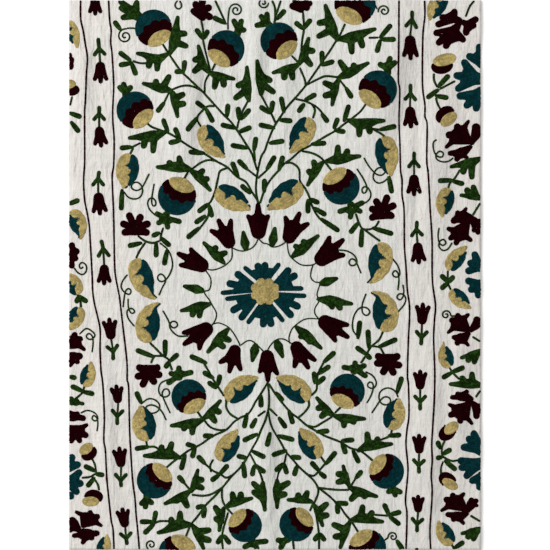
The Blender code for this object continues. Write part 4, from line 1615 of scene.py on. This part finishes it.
class SuzaniLight(bpy.types.PropertyGroup):
    """Strengths of the two lights."""

    key_power: FloatProperty(
        name="Key light", description="Power of the large light at the upper left",
        default=238.0, min=0.0, unit="POWER")
    fill_strength: FloatProperty(
        name="Fill light", description="Strength of the light from all round", default=0.72, min=0.0)
    fill_colour: main_colour("Fill colour", "Colour of the light from all round", (1.0, 1.0, 1.0))


# For each dye: how dark its darkest stitches are and how light its lightest ones, as shares of
# its main colour, and how much its yarn shines. The darkest tone is partly painted shade, and the
# lightest is partly painted highlight as well as wear and uneven dye.
DYE_TONES_AND_SHINE = {
    "green": (0.35, 3.8, 0.12), "teal": (0.56, 2.0, 0.12), "maroon": (0.55, 2.1, 0.05),
    "gold": (0.58, 1.6, 0.20),
}


def yarn_material(scene, dye):
    """The yarn of one dye, made once."""
    name = "mercerised_yarn_" + dye
    colour = tuple(getattr(scene.suzani_colours, dye))
    return bpy.data.materials.get(name) or spun_embroidery_yarn(name, colour, *DYE_TONES_AND_SHINE[dye])


class StitchOperator:
    """What the operators of the stitched pieces share."""

    bl_options = {"REGISTER", "UNDO"}
    thread = ""
    piece_name = ""
    dye = ""

    def execute(self, context):
        settings = context.scene.suzani_sizes
        drawing = the_drawing(settings)
        rows = drawing.rows[self.thread]
        if not rows:
            raise RuntimeError("no rows for " + self.piece_name)
        yarn = yarn_material(context.scene, self.dye)
        piece = work_rows(settings, self.piece_name, rows, yarn)
        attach(piece, "root")
        return {"FINISHED"}


class SUZANI_OT_stems(StitchOperator, bpy.types.Operator):
    """Work the green stems, vines and tendrils"""

    bl_idname = "suzani.stems"
    bl_label = "Stems and Tendrils"
    thread, piece_name, dye = "stem", "green_stems", "green"


class SUZANI_OT_leaves(StitchOperator, bpy.types.Operator):
    """Work the large green leaves and the crowns of the fruit"""

    bl_idname = "suzani.leaves"
    bl_label = "Lobed Leaves"
    thread, piece_name, dye = "leaf", "green_leaves", "green"


class SUZANI_OT_clubs(StitchOperator, bpy.types.Operator):
    """Work the small club-shaped green leaves"""

    bl_idname = "suzani.clubs"
    bl_label = "Club Leaves"
    thread, piece_name, dye = "club", "green_clubs", "green"


class SUZANI_OT_teal(StitchOperator, bpy.types.Operator):
    """Work the teal petals, fruit and paisley halves"""

    bl_idname = "suzani.teal"
    bl_label = "Teal Fillings"
    thread, piece_name, dye = "teal", "teal_fillings", "teal"


class SUZANI_OT_maroon(StitchOperator, bpy.types.Operator):
    """Work the maroon flowers, tulips and fruit bands"""

    bl_idname = "suzani.maroon"
    bl_label = "Maroon Fillings"
    thread, piece_name, dye = "maroon", "maroon_fillings", "maroon"


class SUZANI_OT_strip(StitchOperator, bpy.types.Operator):
    """Work the four maroon rows that edge the strips"""

    bl_idname = "suzani.strip"
    bl_label = "Strip Rows"
    thread, piece_name, dye = "strip", "strip_rows", "maroon"


class SUZANI_OT_gold(StitchOperator, bpy.types.Operator):
    """Work the gold fruit eyes, paisley halves and the rosette's eye"""

    bl_idname = "suzani.gold"
    bl_label = "Gold Fillings"
    thread, piece_name, dye = "gold", "gold_fillings", "gold"


STITCHERS = (
    SUZANI_OT_stems, SUZANI_OT_leaves, SUZANI_OT_clubs, SUZANI_OT_teal, SUZANI_OT_maroon,
    SUZANI_OT_strip, SUZANI_OT_gold,
)


class SUZANI_OT_cloth(bpy.types.Operator):
    """Lay the woven ground cloth under the stitches"""

    bl_idname = "suzani.cloth"
    bl_label = "Ground Cloth"
    bl_options = {"REGISTER", "UNDO"}

    def execute(self, context):
        settings = context.scene.suzani_sizes
        bpy.ops.mesh.primitive_grid_add(
            x_subdivisions=settings.cells_across, y_subdivisions=settings.cells_up, size=1.0)
        cloth = context.object
        cloth.name = cloth.data.name = "woven_cloth"
        places = np.empty(len(cloth.data.vertices) * 3)
        cloth.data.vertices.foreach_get("co", places)
        places = places.reshape(-1, 3)
        places[:, 0] *= CLOTH_WIDTH
        places[:, 1] *= CLOTH_LENGTH
        places[:, 2] = underside_height(settings, places[:, 0], places[:, 1])
        cloth.data.vertices.foreach_set("co", places.ravel())
        cloth.data.update()
        thickness = cloth.modifiers.new("thickness", "SOLIDIFY")
        thickness.thickness = settings.cloth_thickness
        thickness.offset = 1.0
        thickness.use_even_offset = True
        colour = tuple(context.scene.suzani_colours.cotton)
        cloth.data.materials.append(plain_woven_cotton(colour))
        cloth.data.shade_smooth()
        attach(cloth, "root")
        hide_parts(CLOTH_NODE)
        stitched = [bpy.data.objects[maker.piece_name] for maker in STITCHERS]
        return {"FINISHED"}


class SUZANI_OT_stage(bpy.types.Operator):
    """Set the camera, the lights and the pale floor"""

    bl_idname = "suzani.stage"
    bl_label = "Stage"
    bl_options = {"REGISTER", "UNDO"}

    # All in metres, except the camera's sensor, which is in millimetres.
    camera_height = 2.6
    sensor = 36.0
    floor_side = 8.0
    floor_drop = 0.0006
    # The mean height of the cloth's face, where the whole length just fills the frame.
    cloth_face = 0.0045
    key_side = 2.6
    key_place = (-4.1, 2.0, 3.15)

    def execute(self, context):
        scene = context.scene
        lights = scene.suzani_light
        bpy.ops.mesh.primitive_plane_add(size=self.floor_side, location=(0.0, 0.0, 0.0))
        floor = context.object
        floor.name = "studio_floor"
        for vertex in floor.data.vertices:
            vertex.co.z = -self.floor_drop
        floor.data.materials.append(studio_paper())
        camera = linked_object("camera", bpy.data.cameras.new("camera"))
        camera.location = (0.0, 0.0, self.camera_height)
        camera.data.sensor_width = self.sensor
        camera.data.lens = self.sensor * (self.camera_height - self.cloth_face) / CLOTH_LENGTH
        scene.camera = camera
        key = linked_object("key", bpy.data.lights.new("key", "AREA"))
        key.data.size = self.key_side
        key.data.energy = lights.key_power
        key.location = self.key_place
        key.rotation_euler = (-key.location).to_track_quat("-Z", "Y").to_euler()
        world = bpy.data.worlds.new("soft_room")
        scene.world = world
        world.use_nodes = True
        background = world.node_tree.nodes["Background"]
        background.inputs["Color"].default_value = (*lights.fill_colour, 1.0)
        background.inputs["Strength"].default_value = lights.fill_strength
        scene.view_settings.view_transform = "Standard"
        return {"FINISHED"}


MAKERS = (SUZANI_OT_stage, *STITCHERS, SUZANI_OT_cloth)


class SUZANI_PT_panel(bpy.types.Panel):
    """The pieces of the cloth, in the order in which they are made"""

    bl_label = "Suzani"
    bl_idname = "SUZANI_PT_panel"
    bl_space_type = "VIEW_3D"
    bl_region_type = "UI"
    bl_category = "Suzani"

    def draw(self, context):
        for name in GROUPS:
            group = getattr(context.scene, name)
            for key in group.bl_rna.properties.keys():
                if key not in ("rna_type", "name"):
                    self.layout.prop(group, key)
        for maker in MAKERS:
            self.layout.operator(maker.bl_idname)


GROUPS = {"suzani_sizes": SuzaniSizes, "suzani_colours": SuzaniColours, "suzani_light": SuzaniLight}
CLASSES = (*GROUPS.values(), *MAKERS, SUZANI_PT_panel)


def register():
    for kind in CLASSES:
        bpy.utils.register_class(kind)
    for name, kind in GROUPS.items():
        setattr(bpy.types.Scene, name, PointerProperty(type=kind))


def unregister():
    for name in GROUPS:
        delattr(bpy.types.Scene, name)
    for kind in reversed(CLASSES):
        bpy.utils.unregister_class(kind)


def main():
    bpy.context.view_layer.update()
    register()
    for maker in MAKERS:
        getattr(bpy.ops.suzani, maker.bl_idname.removeprefix("suzani."))()


if __name__ == "__main__":
    main()
